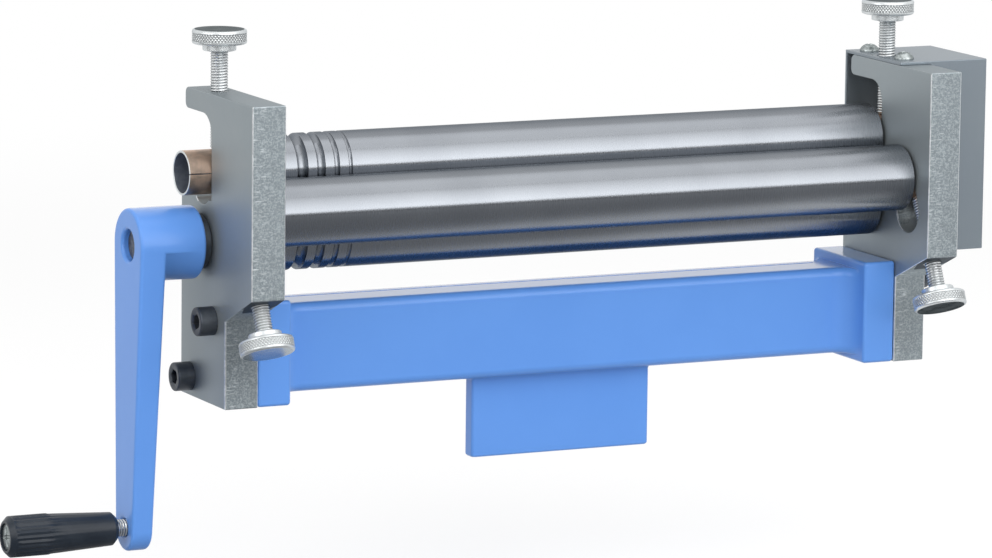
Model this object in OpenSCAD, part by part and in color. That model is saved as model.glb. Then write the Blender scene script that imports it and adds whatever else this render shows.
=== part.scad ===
// Bench slip roll machine, held in a vise by the tongue under its base.
// X runs along the rolls, with the crank at -X and the gears at +X.
// Y runs from the bending roll to the pinch rolls, and Z is up.
// The origin is the centre of the tongue's front clamping face.

/* [Rolls] */
// Diameter of the three rolls
roll_d = 30.5; // [24:0.5:34]
// Working length of the rolls
roll_l = 320; // [200:5:500]
// Gap from a roll's end face to the side plate
roll_end_gap = 1; // [0.5:0.1:2]
// Gap between the two pinch rolls at rest
nip_gap = 0.5; // [0.2:0.1:1]
// Horizontal distance from the pinch rolls to the bending roll at rest
bend_offset = 30.5; // [28:0.5:36]
// Diameter of the roll journals
journal_d = 17.9; // [14:0.1:19]
// Diameters of the wire grooves in the pinch rolls
groove_ds = [5.4, 4.2, 2.8, 2.0];
// Distance from the roll's crank end to the first wire groove
groove_start = 22.5; // [10:0.5:40]
// Plain land between two wire grooves
groove_land = 4.2; // [2:0.1:8]
// Small chamfer on the roll ends
roll_chamfer = 0.6; // [0.2:0.1:1.5]

/* [Bushes] */
// Bore of the split bushes
bush_bore = 18; // [14.2:0.1:19.2]
// Wall of the split bushes
bush_wall = 1; // [0.6:0.1:2]
// Width of the split in a bush
bush_split = 0.4; // [0.2:0.1:1]
// Length of the long bush at the top roll's crank end
long_bush_l = 25; // [18:1:32]
// How far the long bush stands out of the side plate
long_bush_out = 10; // [2:0.5:14]
// Depth of the blind pockets that hold the bending roll's bushes
pocket_depth = 12.5; // [9:0.5:14]
// How far the bending roll's pocket lets it rise from rest
pocket_up = 4.5; // [1:0.1:4.8]
// How far the pocket lets it drop from rest
pocket_down = 16; // [8:0.5:20]
// Clearance each side of a bush that slides
slide_gap = 0.2; // [0.1:0.05:0.4]

/* [Side plates] */
// Thickness of a side plate
plate_t = 16; // [14:0.5:22]
// Height of a side plate
plate_h = 139; // [132:1:160]
// Distance from the pinch rolls' axis to the front face of a plate
plate_front = 56.5; // [50:0.5:70]
// Distance from the pinch rolls' axis to the rear edge of a plate
plate_rear = 24; // [20:0.5:30]
// Height of the upper part of the front face
front_face_h = 86; // [80:1:92]
// How far the lower part of a plate is set back from its front face
foot_setback = 29.5; // [24:0.5:34]
// Slope of the underside between front face and foot, and of the screws
slant = 24; // [18:1:30]
// Depth of the top roll's axis below the plate's top
top_axis_depth = 36; // [30:0.5:40]
// Thickness of the arm over the notch
arm_t = 9.5; // [7:0.5:12]
// Distance from the pinch rolls' axis to the end of the arm
arm_rear = 20; // [16:0.5:24]
// Depth of the notch floor below the plate's top
notch_floor = 47.5; // [45:0.5:52]
// Free depth under the top roll's bush in its seat
seat_relief = 4; // [1:0.5:5]
// Radius in the inner corner of the notch
notch_r = 10; // [4:0.5:12]
// Radius on the outer corners of the arm
arm_r = 3; // [1:0.5:4]
// Edge chamfer of the plates
plate_chamfer = 0.6; // [0.3:0.1:1]

/* [Base] */
// Thickness of the end flanges
flange_t = 16; // [12:0.5:20]
// Height of the end flanges
flange_h = 47.5; // [44:0.5:54]
// Depth of the beam, front to back
beam_d = 27; // [20:0.5:36]
// Height of the beam
beam_h = 40.5; // [34:0.5:46]
// Step from the flange's top down to the beam
beam_step = 4; // [2:0.5:6]
// Edge radius of the cast beam
beam_r = 4; // [2:0.5:6]
// Fillet where the beam meets a flange
cast_fillet = 10; // [4:0.5:11]
// Width of the groove along the beam's top
top_groove_w = 1.5; // [1:0.1:3]
// Depth of the groove along the beam's top
top_groove_t = 0.6; // [0.3:0.1:1.5]
// Width of the vise tongue
tongue_w = 90; // [60:1:140]
// Height of the vise tongue below the beam
tongue_h = 38; // [25:1:60]
// Thickness of the vise tongue
tongue_t = 8; // [6:0.5:14]

/* [Plate bolts] */
// Shank diameter of the plate bolts
bolt_d = 8; // [6:1:10]
// Head diameter of the plate bolts
bolt_head_d = 13; // [10:0.5:16]
// Head height of the plate bolts
bolt_head_h = 8; // [5:0.5:10]
// Width across flats of the socket in the bolt heads
bolt_socket = 6; // [4:0.5:8]
// Depth of the socket in the bolt heads
bolt_socket_t = 4; // [2:0.5:5]
// Thread length in the flange
bolt_grip = 12; // [8:0.5:14]
// Height of the upper bolt above the plate's foot
bolt_upper_z = 38; // [32:0.5:42]
// Height of the lower bolt above the plate's foot
bolt_lower_z = 9; // [8:0.5:14]
// Distance of the upper bolt behind the foot's front edge
bolt_upper_y = 14.5; // [8:0.5:20]
// Distance of the lower bolt ahead of the plate's rear edge
bolt_lower_y = 11; // [8:0.5:16]

/* [Thumb screws] */
// Diameter of the knurled heads
knob_d = 24.5; // [18:0.5:30]
// Thickness of the knurled heads
knob_t = 6.5; // [4:0.5:10]
// Diameter of the collar under a head
collar_d = 15; // [10:0.5:18]
// Length of the collar under a head
collar_l = 3; // [2:0.5:6]
// Outer diameter of the screw thread
thread_d = 7.85; // [6:0.05:9]
// Diameter of the holes that the screws turn in
thread_hole = 8; // [6.1:0.05:9.2]
// Length of the adjusting screws under the collar
adjust_l = 44; // [40:1:60]
// Gap from a screw's tip to the bush that it pushes
tip_gap = 0.05; // [0.02:0.01:0.2]
// Chamfer on the knurled heads
knob_chamfer = 0.8; // [0.4:0.1:1.5]
// Gap under the collar of a lock screw
lock_gap = 0.3; // [0.2:0.1:1]

/* [Crank] */
// Distance from the roll's axis to the handle
crank_reach = 128; // [90:1:180]
// Diameter of the crank's hub
hub_d = 33; // [28:0.5:40]
// Length of the hub, with the arm's thickness
hub_l = 31.3; // [24:0.5:40]
// Bore of the crank's hub
crank_bore = 14; // [10:0.5:15]
// Thickness of the arm at the hub
arm_hub_t = 12; // [9:0.5:16]
// Thickness of the arm at the handle
arm_tip_t = 10; // [8:0.5:14]
// Width of the arm at the handle
arm_tip_w = 21; // [16:0.5:26]
// How far the roll's end lies inside the hub's outer face
crank_recess = 3; // [1:0.5:6]
// Thickness of the spacer ring between plate and hub
spacer_l = 4; // [2:0.5:6]
// Diameter of the spacer ring
spacer_d = 25; // [20:0.5:34]
// Gap between the spacer ring and the plate
spacer_gap = 0.3; // [0.2:0.1:0.6]
// Diameter of the grub screw that holds the crank
grub_d = 6; // [4:1:8]
// How far the crank leans to the rear at rest, in degrees
crank_lean = 1.7; // [0:0.1:6]

/* [Handle] */
// Length of the grip
grip_l = 52; // [40:1:80]
// Largest diameter of the grip
grip_d = 18.5; // [16:0.5:26]
// Diameter of the grip next to the crank
grip_neck_d = 15; // [12:0.5:20]
// Length of the thicker outer part of the grip
grip_thick_l = 20; // [10:1:30]
// Edge chamfer of the grip
grip_chamfer = 2; // [1:0.5:3]
// Diameter of the handle's spindle
spindle_d = 7.8; // [6:0.1:9]
// Radial clearance of the grip on its spindle
grip_gap = 0.08; // [0.03:0.01:0.1]
// Diameter of the spindle's head
spindle_head_d = 12; // [10:0.5:14]
// Height of the spindle's head
spindle_head_h = 3.5; // [2:0.5:5]
// Depth of the head's recess in the grip
head_recess = 4; // [2.5:0.5:6]
// Length of the bare spindle between grip and arm
neck_l = 4.4; // [2:0.1:6]

/* [Gears] */
// Number of teeth of each gear
gear_teeth = 20; // [16:1:26]
// How much farther apart the gears stand at rest than their pitch circles need
gear_play = 1; // [0.5:0.1:1.5]
// Face width of the gears
gear_w = 14; // [8:0.5:16]
// Diameter of the roll ends that carry the gears
gear_seat_d = 15; // [12:0.5:16]
// Gap between the right plate and the gears
gear_gap = 2; // [1:0.5:4]
// Width and height of the gear keys
key_w = 5; // [4:0.5:6]
// Length of the gear keys
key_l = 12; // [6:1:13]
// Thickness of the retaining rings
ring_t = 1; // [0.8:0.1:1.5]
// Outer diameter of the retaining rings
ring_d = 20; // [18:0.5:24]
// Depth of the retaining ring's groove
ring_groove = 0.7; // [0.4:0.1:1]
// Length of shaft beyond the retaining ring
shaft_tail = 2.5; // [1:0.5:4]

/* [Gear cover] */
// Sheet thickness of the gear cover
cover_t = 1.5; // [1:0.1:2.5]
// Depth of the cover outside the right plate
cover_d = 30; // [26:0.5:40]
// Depth of the cover's lower edge below the plate's top
cover_h = 88; // [86:1:95]
// Distance of the cover's front wall from the pinch rolls' axis
cover_front = 27.5; // [22:0.5:40]
// Depth of the cover's rear flap below the plate's top
cover_flap_h = 52; // [48:0.5:53]
// Distance of each cover screw from the thumb screw
cover_screw_y = 16.5; // [12:0.5:18]
// Thread diameter of the cover screws
cover_screw_d = 5; // [4:0.5:6]
// Thread length of the cover screws
cover_screw_l = 8; // [5:0.5:9]
// Head diameter of the cover screws
cover_head_d = 9; // [7:0.5:10]
// Head height of the cover screws
cover_head_h = 3.6; // [2:0.1:5]
// Clearance around the thumb screw in the cover
cover_hole_gap = 0.8; // [0.4:0.1:2]

/* [Hidden] */

// Overrun of every cut past the face that it opens
cut = 1;
round_fn = 64;
small_fn = 32;
hex_fn = 6;

bush_d = bush_bore + 2 * bush_wall;
plate_gap = roll_l + 2 * roll_end_gap;
x_in = plate_gap / 2;
x_out = x_in + plate_t;
x_mid = x_in + plate_t / 2;

// Heights, from the tongue's centre upward
z_beam_bottom = tongue_h / 2;
z_beam_top = z_beam_bottom + beam_h;
z_flange_top = z_beam_top + beam_step;
z_foot = z_flange_top - flange_h;
z_top = z_foot + plate_h;
z_top_roll = z_top - top_axis_depth;
z_lower_roll = z_top_roll - roll_d - nip_gap;
z_bend_roll = (z_top_roll + z_lower_roll) / 2;

// Places from front to back, from the tongue's front face
y_axis = tongue_t / 2;
y_front = y_axis - plate_front;
y_rear = y_axis + plate_rear;
y_foot = y_front + foot_setback;
y_bend = y_axis - bend_offset;
z_front_end = z_top - front_face_h;
z_slant_end = z_front_end - foot_setback * tan(slant);

pocket_r = bush_d / 2 + slide_gap;

// The adjusting screws' heads, from the axis of the roll that they push
knob_reach = bush_d / 2 + tip_gap + adjust_l;

shaft_end = x_out + gear_gap + gear_w + ring_t + shaft_tail;
x_gear = x_out + gear_gap;
x_hub_end = -x_out - spacer_gap - spacer_l;
x_hub_face = x_hub_end - hub_l;
z_handle = z_lower_roll - crank_reach;
x_grip = x_hub_face - neck_l;
shaft_half_gap = (bush_bore - journal_d) / 2;

steel = [0.72, 0.73, 0.74];
zinc = [0.62, 0.65, 0.67];
blue = [0.39, 0.57, 0.86];
bronze = [0.66, 0.48, 0.38];
black = [0.13, 0.13, 0.14];

// Extrudes an outline in Y and Z along X
module along_x(x0, x1) {
    translate([x0, 0, 0]) rotate([90, 0, 90]) linear_extrude(x1 - x0) children();
}

// Round bar along X between two places
module bar_x(x0, x1, d, y, z) {
    translate([x0, y, z]) rotate([0, 90, 0]) cylinder(h = x1 - x0, d = d, $fn = round_fn);
}

// Cone along X from one diameter to another
module cone_x(x0, x1, d0, d1, y, z) {
    translate([x0, y, z]) rotate([0, 90, 0])
        cylinder(h = x1 - x0, d1 = d0, d2 = d1, $fn = round_fn);
}

// Rounded rectangle between two corners
module rounded_box(y0, z0, y1, z1, r) {
    translate([y0 + r, z0]) square([y1 - y0 - 2 * r, z1 - z0]);
    translate([y0, z0 + r]) square([y1 - y0, z1 - z0 - 2 * r]);
    for (y = [y0 + r, y1 - r], z = [z0 + r, z1 - r])
        translate([y, z]) circle(r, $fn = small_fn);
}

// Concave corner piece that fills the quadrant away from its round
module fillet(r) {
    difference() {
        square(r);
        translate([r, r]) circle(r, $fn = round_fn);
    }
}

// Places that move with the bending roll, by a distance up its slanted pocket
function slant_y(t) = y_bend + t * sin(slant);
function slant_z(t) = z_bend_roll + t * cos(slant);

// Turns a shape that points along +Z into the direction of the slanted screws
module on_slant(x) {
    translate([x, y_bend, z_bend_roll]) rotate([-slant, 0, 0]) children();
}

// Base: beam, two end flanges and the vise tongue in one casting
module base_beam() {
    along_x(-x_in + flange_t - cut, x_in - flange_t + cut)
        rounded_box(y_axis - beam_d / 2, z_beam_bottom, y_axis + beam_d / 2, z_beam_top, beam_r);
}

module base_flange() {
    along_x(x_in - flange_t, x_in)
        rounded_box(y_foot, z_foot, y_rear, z_flange_top, arm_r);
}

// Fillets between the beam and one flange, down both sides of the beam
module base_fillets() {
    for (side = [-1, 1])
        translate([x_in - flange_t, y_axis + side * beam_d / 2, z_beam_bottom + beam_r])
            linear_extrude(beam_h - 2 * beam_r)
                mirror([1, 0]) mirror([0, side < 0 ? 1 : 0]) fillet(cast_fillet);
}

module base_casting() {
    tongue_r = tongue_t / 4;
    color(blue) difference() {
        union() {
            base_beam();
            for (side = [0, 1]) mirror([side, 0, 0]) {
                base_flange();
                base_fillets();
            }
            translate([-tongue_w / 2, 0, -tongue_h / 2]) union() {
                translate([tongue_r, 0, 0])
                    cube([tongue_w - 2 * tongue_r, tongue_t, tongue_h + beam_r]);
                translate([0, 0, tongue_r])
                    cube([tongue_w, tongue_t, tongue_h + beam_r - tongue_r]);
                for (x = [tongue_r, tongue_w - tongue_r])
                    translate([x, 0, tongue_r]) rotate([-90, 0, 0])
                        cylinder(h = tongue_t, r = tongue_r, $fn = small_fn);
            }
        }
        for (side = [0, 1]) mirror([side, 0, 0]) plate_bolt_holes(bolt_d);
        translate([-x_in + flange_t + cast_fillet, y_axis + beam_d / 6, z_beam_top - top_groove_t])
            cube([plate_gap - 2 * flange_t - 2 * cast_fillet, top_groove_w, top_groove_t + cut]);
    }
}

// Holes of the right plate's two bolts, through plate and flange
module plate_bolt_holes(d) {
    bar_x(x_in - bolt_grip, x_out + cut, d, y_foot + bolt_upper_y, z_foot + bolt_upper_z);
    bar_x(x_in - bolt_grip, x_out + cut, d, y_rear - bolt_lower_y, z_foot + bolt_lower_z);
}

module socket_bolt(y, z) {
    difference() {
        union() {
            bar_x(x_in - bolt_grip, x_out, bolt_d, y, z);
            bar_x(x_out, x_out + bolt_head_h, bolt_head_d, y, z);
        }
        translate([x_out + bolt_head_h - bolt_socket_t, y, z]) rotate([0, 90, 0])
            cylinder(h = bolt_socket_t + cut, d = bolt_socket / cos(180 / hex_fn), $fn = hex_fn);
    }
}

module plate_bolts() {
    color(black) {
        socket_bolt(y_foot + bolt_upper_y, z_foot + bolt_upper_z);
        socket_bolt(y_rear - bolt_lower_y, z_foot + bolt_lower_z);
    }
}

module left_plate_bolts() { mirror([1, 0, 0]) plate_bolts(); }
module right_plate_bolts() { plate_bolts(); }

// Side plate outline, without its notch
module plate_outline() {
    polygon([
        [y_front, z_top], [y_front, z_front_end], [y_foot, z_slant_end], [y_foot, z_foot],
        [y_rear, z_foot], [y_rear, z_top - notch_floor], [y_axis + arm_rear, z_top - notch_floor],
        [y_axis + arm_rear, z_top]]);
}

// Notch behind the top roll's bush, with its rounded inner corner and the bush seat
module notch_outline() {
    y0 = y_axis - bush_d / 2 - slide_gap;
    z1 = z_top - arm_t;
    z0 = z_top - notch_floor;
    difference() {
        translate([y0, z0]) square([y_rear - y0 + cut, z1 - z0]);
        translate([y0, z1]) mirror([0, 1]) fillet(notch_r);
    }
    translate([y_axis, z_top_roll - seat_relief]) circle(pocket_r, $fn = round_fn);
}

// Rounds the two rear corners of the arm
module arm_corners() {
    y1 = y_axis + arm_rear;
    translate([y1, z_top]) mirror([1, 0]) mirror([0, 1]) fillet(arm_r);
    translate([y1, z_top - arm_t]) mirror([1, 0]) fillet(arm_r);
}

// Slanted slot with round ends, as high as the bending roll's bush can travel
module pocket_outline() {
    for (t = [-pocket_down, pocket_up])
        translate([slant_y(t), slant_z(t)]) circle(pocket_r, $fn = round_fn);
    translate([y_bend, z_bend_roll]) rotate(-slant) translate([-pocket_r, -pocket_down])
        square([2 * pocket_r, pocket_down + pocket_up]);
}

// Blind pocket for the bending roll's bush, cut from the inner face
module bend_pocket() {
    along_x(x_in - cut, x_in + pocket_depth) pocket_outline();
}

module side_plate() {
    difference() {
        along_x(x_in, x_out) difference() {
            plate_outline();
            notch_outline();
            arm_corners();
        }
        bend_pocket();
        bar_x(x_in - cut, x_out + cut, bush_d, y_axis, z_lower_roll);
        // Threaded holes of the adjusting screws and the lock screw
        translate([x_mid, y_axis, z_top - arm_t - cut])
            cylinder(h = arm_t + 2 * cut, d = thread_hole, $fn = round_fn);
        on_slant(x_mid) mirror([0, 0, 1])
            cylinder(h = knob_reach, d = thread_hole, $fn = round_fn);
        translate([x_mid, y_axis, z_lower_roll]) rotate([-90, 0, 0])
            cylinder(h = plate_rear + cut, d = thread_hole, $fn = round_fn);
        plate_bolt_holes(bolt_d);
        plate_edge_chamfers();
    }
}

// Chamfers along the front edges of the upper front face
module plate_edge_chamfers() {
    for (x = [x_in, x_out]) translate([x, y_front, z_front_end - cut]) rotate([0, 0, 45])
        translate([-plate_chamfer / 2, -plate_chamfer / 2, 0])
            cube([plate_chamfer, plate_chamfer, front_face_h + 2 * cut]);
}

module left_side_plate() { color(zinc) mirror([1, 0, 0]) side_plate(); }

module right_side_plate() {
    color(zinc) difference() {
        side_plate();
        for (side = [-1, 1])
            translate([x_mid, y_axis + side * cover_screw_y, z_top + cover_t - cover_screw_l])
                cylinder(h = cover_screw_l + cut, d = cover_screw_d, $fn = small_fn);
    }
}

// Gear cover: a five sided sheet box outside the right plate, and a tab over its top
module gear_cover() {
    y0 = y_axis - cover_front;
    y_back = y_rear + cover_t;
    z0 = z_top - cover_h;
    color(zinc) difference() {
        union() {
            translate([x_out, y0, z0]) cube([cover_d, y_back - y0, cover_h + cover_t]);
            translate([x_in, y0, z_top]) cube([plate_t + cover_t, y_back - y0, cover_t]);
            translate([x_in, y_rear, z_top - cover_flap_h])
                cube([plate_t + cover_t, cover_t, cover_flap_h + cover_t]);
        }
        translate([x_out - cut, y0 + cover_t, z0 + cover_t])
            cube([cover_d - cover_t + cut, y_rear - y0 - cover_t, cover_h - cover_t]);
        translate([x_mid, y_axis, z_top - cut])
            cylinder(h = cover_t + 2 * cut, d = thread_hole + 2 * cover_hole_gap, $fn = round_fn);
        for (side = [-1, 1]) translate([x_mid, y_axis + side * cover_screw_y, z_top - cut])
            cylinder(h = cover_t + 2 * cut, d = cover_screw_d, $fn = small_fn);
    }
}

// Pan head screws that hold the cover's tab
module gear_cover_screws() {
    neck_h = cover_head_h / 4;
    dome_r = (pow(cover_head_d / 2, 2) + pow(cover_head_h - neck_h, 2))
        / (2 * (cover_head_h - neck_h));
    color(steel) for (side = [-1, 1])
        translate([x_mid, y_axis + side * cover_screw_y, z_top + cover_t]) {
            translate([0, 0, -cover_screw_l])
                cylinder(h = cover_screw_l, d = cover_screw_d, $fn = small_fn);
            cylinder(h = neck_h, d = cover_head_d, $fn = small_fn);
            intersection() {
                translate([0, 0, cover_head_h - dome_r]) sphere(dome_r, $fn = small_fn);
                translate([0, 0, neck_h])
                    cylinder(h = cover_head_h, d = cover_head_d, $fn = small_fn);
            }
        }
}

// Split bush along X, its split turned away from the load
module split_bush(x0, x1, y, z, turn) {
    difference() {
        bar_x(x0, x1, bush_d, y, z);
        bar_x(x0 - cut, x1 + cut, bush_bore, y, z);
        translate([x0 - cut, y, z]) rotate([turn, 0, 0])
            translate([0, -bush_d / 2 - cut, -bush_split / 2])
                cube([x1 - x0 + 2 * cut, bush_wall + 2 * cut, bush_split]);
    }
}

bush_turn = -3;
module lower_left_bush() { color(bronze) split_bush(-x_out, -x_in, y_axis, z_lower_roll, bush_turn); }
module lower_right_bush() { color(bronze) split_bush(x_in, x_out, y_axis, z_lower_roll, bush_turn); }
module top_left_bush() {
    color(bronze) split_bush(-x_out - long_bush_out, -x_out - long_bush_out + long_bush_l,
        y_axis, z_top_roll, bush_turn);
}
module top_right_bush() { color(bronze) split_bush(x_in, x_out, y_axis, z_top_roll, bush_turn); }
module bend_left_bush() {
    color(bronze) split_bush(-x_in - pocket_depth + slide_gap, -x_in, y_bend, z_bend_roll, bush_turn);
}
module bend_right_bush() {
    color(bronze) split_bush(x_in, x_in + pocket_depth - slide_gap, y_bend, z_bend_roll, bush_turn);
}

// Thumb screw along +Z: thread, collar and knurled head, with its tip at the origin
module thumb_screw(l) {
    color(zinc) {
        cylinder(h = l, d = thread_d, $fn = round_fn);
        translate([0, 0, l]) cylinder(h = collar_l, d = collar_d, $fn = round_fn);
        translate([0, 0, l + collar_l]) {
            cylinder(h = knob_chamfer, d1 = knob_d - 2 * knob_chamfer, d2 = knob_d, $fn = round_fn);
            translate([0, 0, knob_chamfer])
                cylinder(h = knob_t - 2 * knob_chamfer, d = knob_d, $fn = round_fn);
            translate([0, 0, knob_t - knob_chamfer])
                cylinder(h = knob_chamfer, d1 = knob_d, d2 = knob_d - 2 * knob_chamfer,
                    $fn = round_fn);
        }
    }
}

module top_thumb_screw(x) {
    translate([x, y_axis, z_top_roll + bush_d / 2 + tip_gap]) thumb_screw(adjust_l);
}
module top_left_thumb_screw() { top_thumb_screw(-x_mid); }
module top_right_thumb_screw() { top_thumb_screw(x_mid); }

module bend_thumb_screw(x) {
    on_slant(x) mirror([0, 0, 1]) translate([0, 0, bush_d / 2 + tip_gap]) thumb_screw(adjust_l);
}
module bend_left_thumb_screw() { bend_thumb_screw(-x_mid); }
module bend_right_thumb_screw() { bend_thumb_screw(x_mid); }

// Lock screws in the rear edges, their tips against the lower roll's bushes
module lock_screw(x) {
    tip = bush_d / 2 + tip_gap;
    translate([x, y_axis + tip, z_lower_roll]) rotate([-90, 0, 0])
        thumb_screw(plate_rear - tip + lock_gap);
}
module left_lock_screw() { lock_screw(-x_mid); }
module right_lock_screw() { lock_screw(x_mid); }

// Roll body with chamfered ends
module roll_body(y, z) {
    bar_x(-roll_l / 2 + roll_chamfer, roll_l / 2 - roll_chamfer, roll_d, y, z);
    cone_x(-roll_l / 2, -roll_l / 2 + roll_chamfer, roll_d - 2 * roll_chamfer, roll_d, y, z);
    cone_x(roll_l / 2 - roll_chamfer, roll_l / 2, roll_d, roll_d - 2 * roll_chamfer, y, z);
}

// Distance from the roll's end to the middle of one wire groove
function groove_x(i) = i == 0 ? groove_start + groove_ds[0] / 2
    : groove_x(i - 1) + groove_ds[i - 1] / 2 + groove_land + groove_ds[i] / 2;

// Wire grooves, half round in section
module wire_grooves(y, z) {
    for (i = [0 : len(groove_ds) - 1])
        translate([-roll_l / 2 + groove_x(i), y, z]) rotate([0, 90, 0])
            rotate_extrude($fn = round_fn) translate([roll_d / 2, 0])
                circle(d = groove_ds[i], $fn = small_fn);
}

// Gear seat at a roll's right end, with keyseat and ring groove
module gear_end(y, z) {
    difference() {
        union() {
            bar_x(roll_l / 2 - cut, x_out + gear_gap / 2, journal_d, y, z);
            bar_x(x_out + gear_gap / 2, shaft_end, gear_seat_d, y, z);
        }
        translate([x_gear + (gear_w - key_l) / 2, y - key_w / 2, z + gear_seat_d / 2 - key_w / 2])
            cube([key_l, key_w, key_w]);
        ring_space(y, z);
    }
}

module ring_space(y, z) {
    difference() {
        bar_x(x_gear + gear_w, x_gear + gear_w + ring_t, ring_d, y, z);
        bar_x(x_gear + gear_w - cut, x_gear + gear_w + ring_t + cut,
            gear_seat_d - 2 * ring_groove, y, z);
    }
}

module top_roll() {
    color(steel) difference() {
        union() {
            roll_body(y_axis, z_top_roll);
            bar_x(-x_out - roll_end_gap, -roll_l / 2 + cut, journal_d, y_axis, z_top_roll);
            gear_end(y_axis, z_top_roll);
        }
        wire_grooves(y_axis, z_top_roll);
    }
}

module lower_roll() {
    color(steel) difference() {
        union() {
            roll_body(y_axis, z_lower_roll);
            bar_x(-x_out - spacer_gap, -roll_l / 2 + cut, journal_d, y_axis, z_lower_roll);
            bar_x(x_hub_face + crank_recess, -x_out, crank_bore, y_axis, z_lower_roll);
            gear_end(y_axis, z_lower_roll);
        }
        wire_grooves(y_axis, z_lower_roll);
    }
}

module bend_roll() {
    journal_end = x_in + pocket_depth - slide_gap;
    color(steel) {
        roll_body(y_bend, z_bend_roll);
        bar_x(-journal_end, -roll_l / 2 + cut, journal_d, y_bend, z_bend_roll);
        bar_x(roll_l / 2 - cut, journal_end, journal_d, y_bend, z_bend_roll);
    }
}

// Involute gear outline, one tooth centred on +Z before it is turned
pressure_angle = 20;
tooth_relief_share = 1.25;
pitch_r = (roll_d + nip_gap - gear_play) / 2;
gear_module = 2 * pitch_r / gear_teeth;
base_r = pitch_r * cos(pressure_angle);
tip_r = pitch_r + gear_module;
root_r = pitch_r - tooth_relief_share * gear_module;
flank_steps = 4;
function involute(a) = tan(a) * 180 / PI - a;
function flank_angle(r) = 90 / gear_teeth + involute(pressure_angle)
    - (r > base_r ? involute(acos(base_r / r)) : 0);
function flank_radius(i) = root_r + (tip_r - root_r) * i / flank_steps;
function tooth_points(a) = concat(
    [for (i = [0 : flank_steps]) flank_radius(i)
        * [cos(a - flank_angle(flank_radius(i))), sin(a - flank_angle(flank_radius(i)))]],
    [for (i = [flank_steps : -1 : 0]) flank_radius(i)
        * [cos(a + flank_angle(flank_radius(i))), sin(a + flank_angle(flank_radius(i)))]]);

module gear(z, turn) {
    color(steel) difference() {
        translate([0, y_axis, z]) along_x(x_gear, x_gear + gear_w)
            polygon([for (k = [0 : gear_teeth - 1]) each tooth_points(turn + k * 360 / gear_teeth)]);
        bar_x(x_gear - cut, x_gear + gear_w + cut, gear_seat_d, y_axis, z);
        translate([x_gear - cut, y_axis - key_w / 2, z])
            cube([gear_w + 2 * cut, key_w, gear_seat_d / 2 + key_w / 2]);
    }
}

module top_gear() { gear(z_top_roll, 270 + 180 / gear_teeth); }
module lower_gear() { gear(z_lower_roll, 90); }

module gear_key(z) {
    color(black)
        translate([x_gear + (gear_w - key_l) / 2, y_axis - key_w / 2, z + gear_seat_d / 2 - key_w / 2])
            cube([key_l, key_w, key_w]);
}
module top_gear_key() { gear_key(z_top_roll); }
module lower_gear_key() { gear_key(z_lower_roll); }

// Retaining ring, open at the bottom
module gear_ring(z) {
    color(black) difference() {
        ring_space(y_axis, z);
        translate([x_gear + gear_w - cut, y_axis - key_w / 2, z - ring_d])
            cube([ring_t + 2 * cut, key_w, ring_d]);
    }
}
module top_gear_ring() { gear_ring(z_top_roll); }
module lower_gear_ring() { gear_ring(z_lower_roll); }

// Turns the crank's parts to their rest angle about the lower roll's axis
module leaning() {
    translate([0, y_axis, z_lower_roll]) rotate([crank_lean, 0, 0])
        translate([0, -y_axis, -z_lower_roll]) children();
}

// Straight tapered bar between two rounds in the plane of the arm, from tangent points
module arm_outline() {
    lean = asin((hub_d - arm_tip_w) / 2 / crank_reach);
    tip = [0, -crank_reach];
    function side_points(s) = [hub_d / 2 * [s * cos(lean), -sin(lean)],
        tip + arm_tip_w / 2 * [s * cos(lean), -sin(lean)]];
    circle(d = hub_d, $fn = round_fn);
    translate(tip) circle(d = arm_tip_w, $fn = round_fn);
    polygon([side_points(1)[0], side_points(1)[1], side_points(-1)[1], side_points(-1)[0]]);
}

// Side view of the arm, thinner toward the handle
module arm_taper() {
    z0 = -crank_reach - arm_tip_w;
    polygon([[0, hub_d], [arm_hub_t, hub_d], [arm_hub_t, -hub_d / 2],
        [arm_tip_t, -crank_reach], [arm_tip_t, z0], [0, z0]]);
}

module crank_arm() {
    color(blue) leaning() difference() {
        translate([x_hub_face, y_axis, z_lower_roll]) union() {
            intersection() {
                along_x(0, arm_hub_t) arm_outline();
                rotate([90, 0, 0]) translate([0, 0, -hub_d])
                    linear_extrude(2 * hub_d) arm_taper();
            }
            bar_x(arm_hub_t / 2, hub_l, hub_d, 0, 0);
        }
        bar_x(x_hub_face - cut, x_hub_end + cut, crank_bore, y_axis, z_lower_roll);
        bar_x(x_hub_face - cut, x_hub_face + arm_hub_t + cut, spindle_d, y_axis, z_handle);
        crank_grub_space(grub_d, hub_d);
    }
}

// Radial hole or screw in the hub, from the rear
module crank_grub_space(d, reach) {
    translate([x_hub_end - hub_l / 3, y_axis + crank_bore / 2, z_lower_roll]) rotate([-90, 0, 0])
        cylinder(h = reach, d = d, $fn = small_fn);
}

module crank_grub_screw() {
    wall = (hub_d - crank_bore) / 2;
    color(black) leaning() difference() {
        crank_grub_space(grub_d, wall - grub_d / 6);
        translate([x_hub_end - hub_l / 3, y_axis + crank_bore / 2 + wall / 2, z_lower_roll])
            rotate([-90, 0, 0])
                cylinder(h = wall, d = grub_d / 2 / cos(180 / hex_fn), $fn = hex_fn);
    }
}

module crank_spacer() {
    color(black) difference() {
        bar_x(x_hub_end, x_hub_end + spacer_l, spacer_d, y_axis, z_lower_roll);
        bar_x(x_hub_end - cut, x_hub_end + spacer_l + cut, crank_bore, y_axis, z_lower_roll);
    }
}

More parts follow.
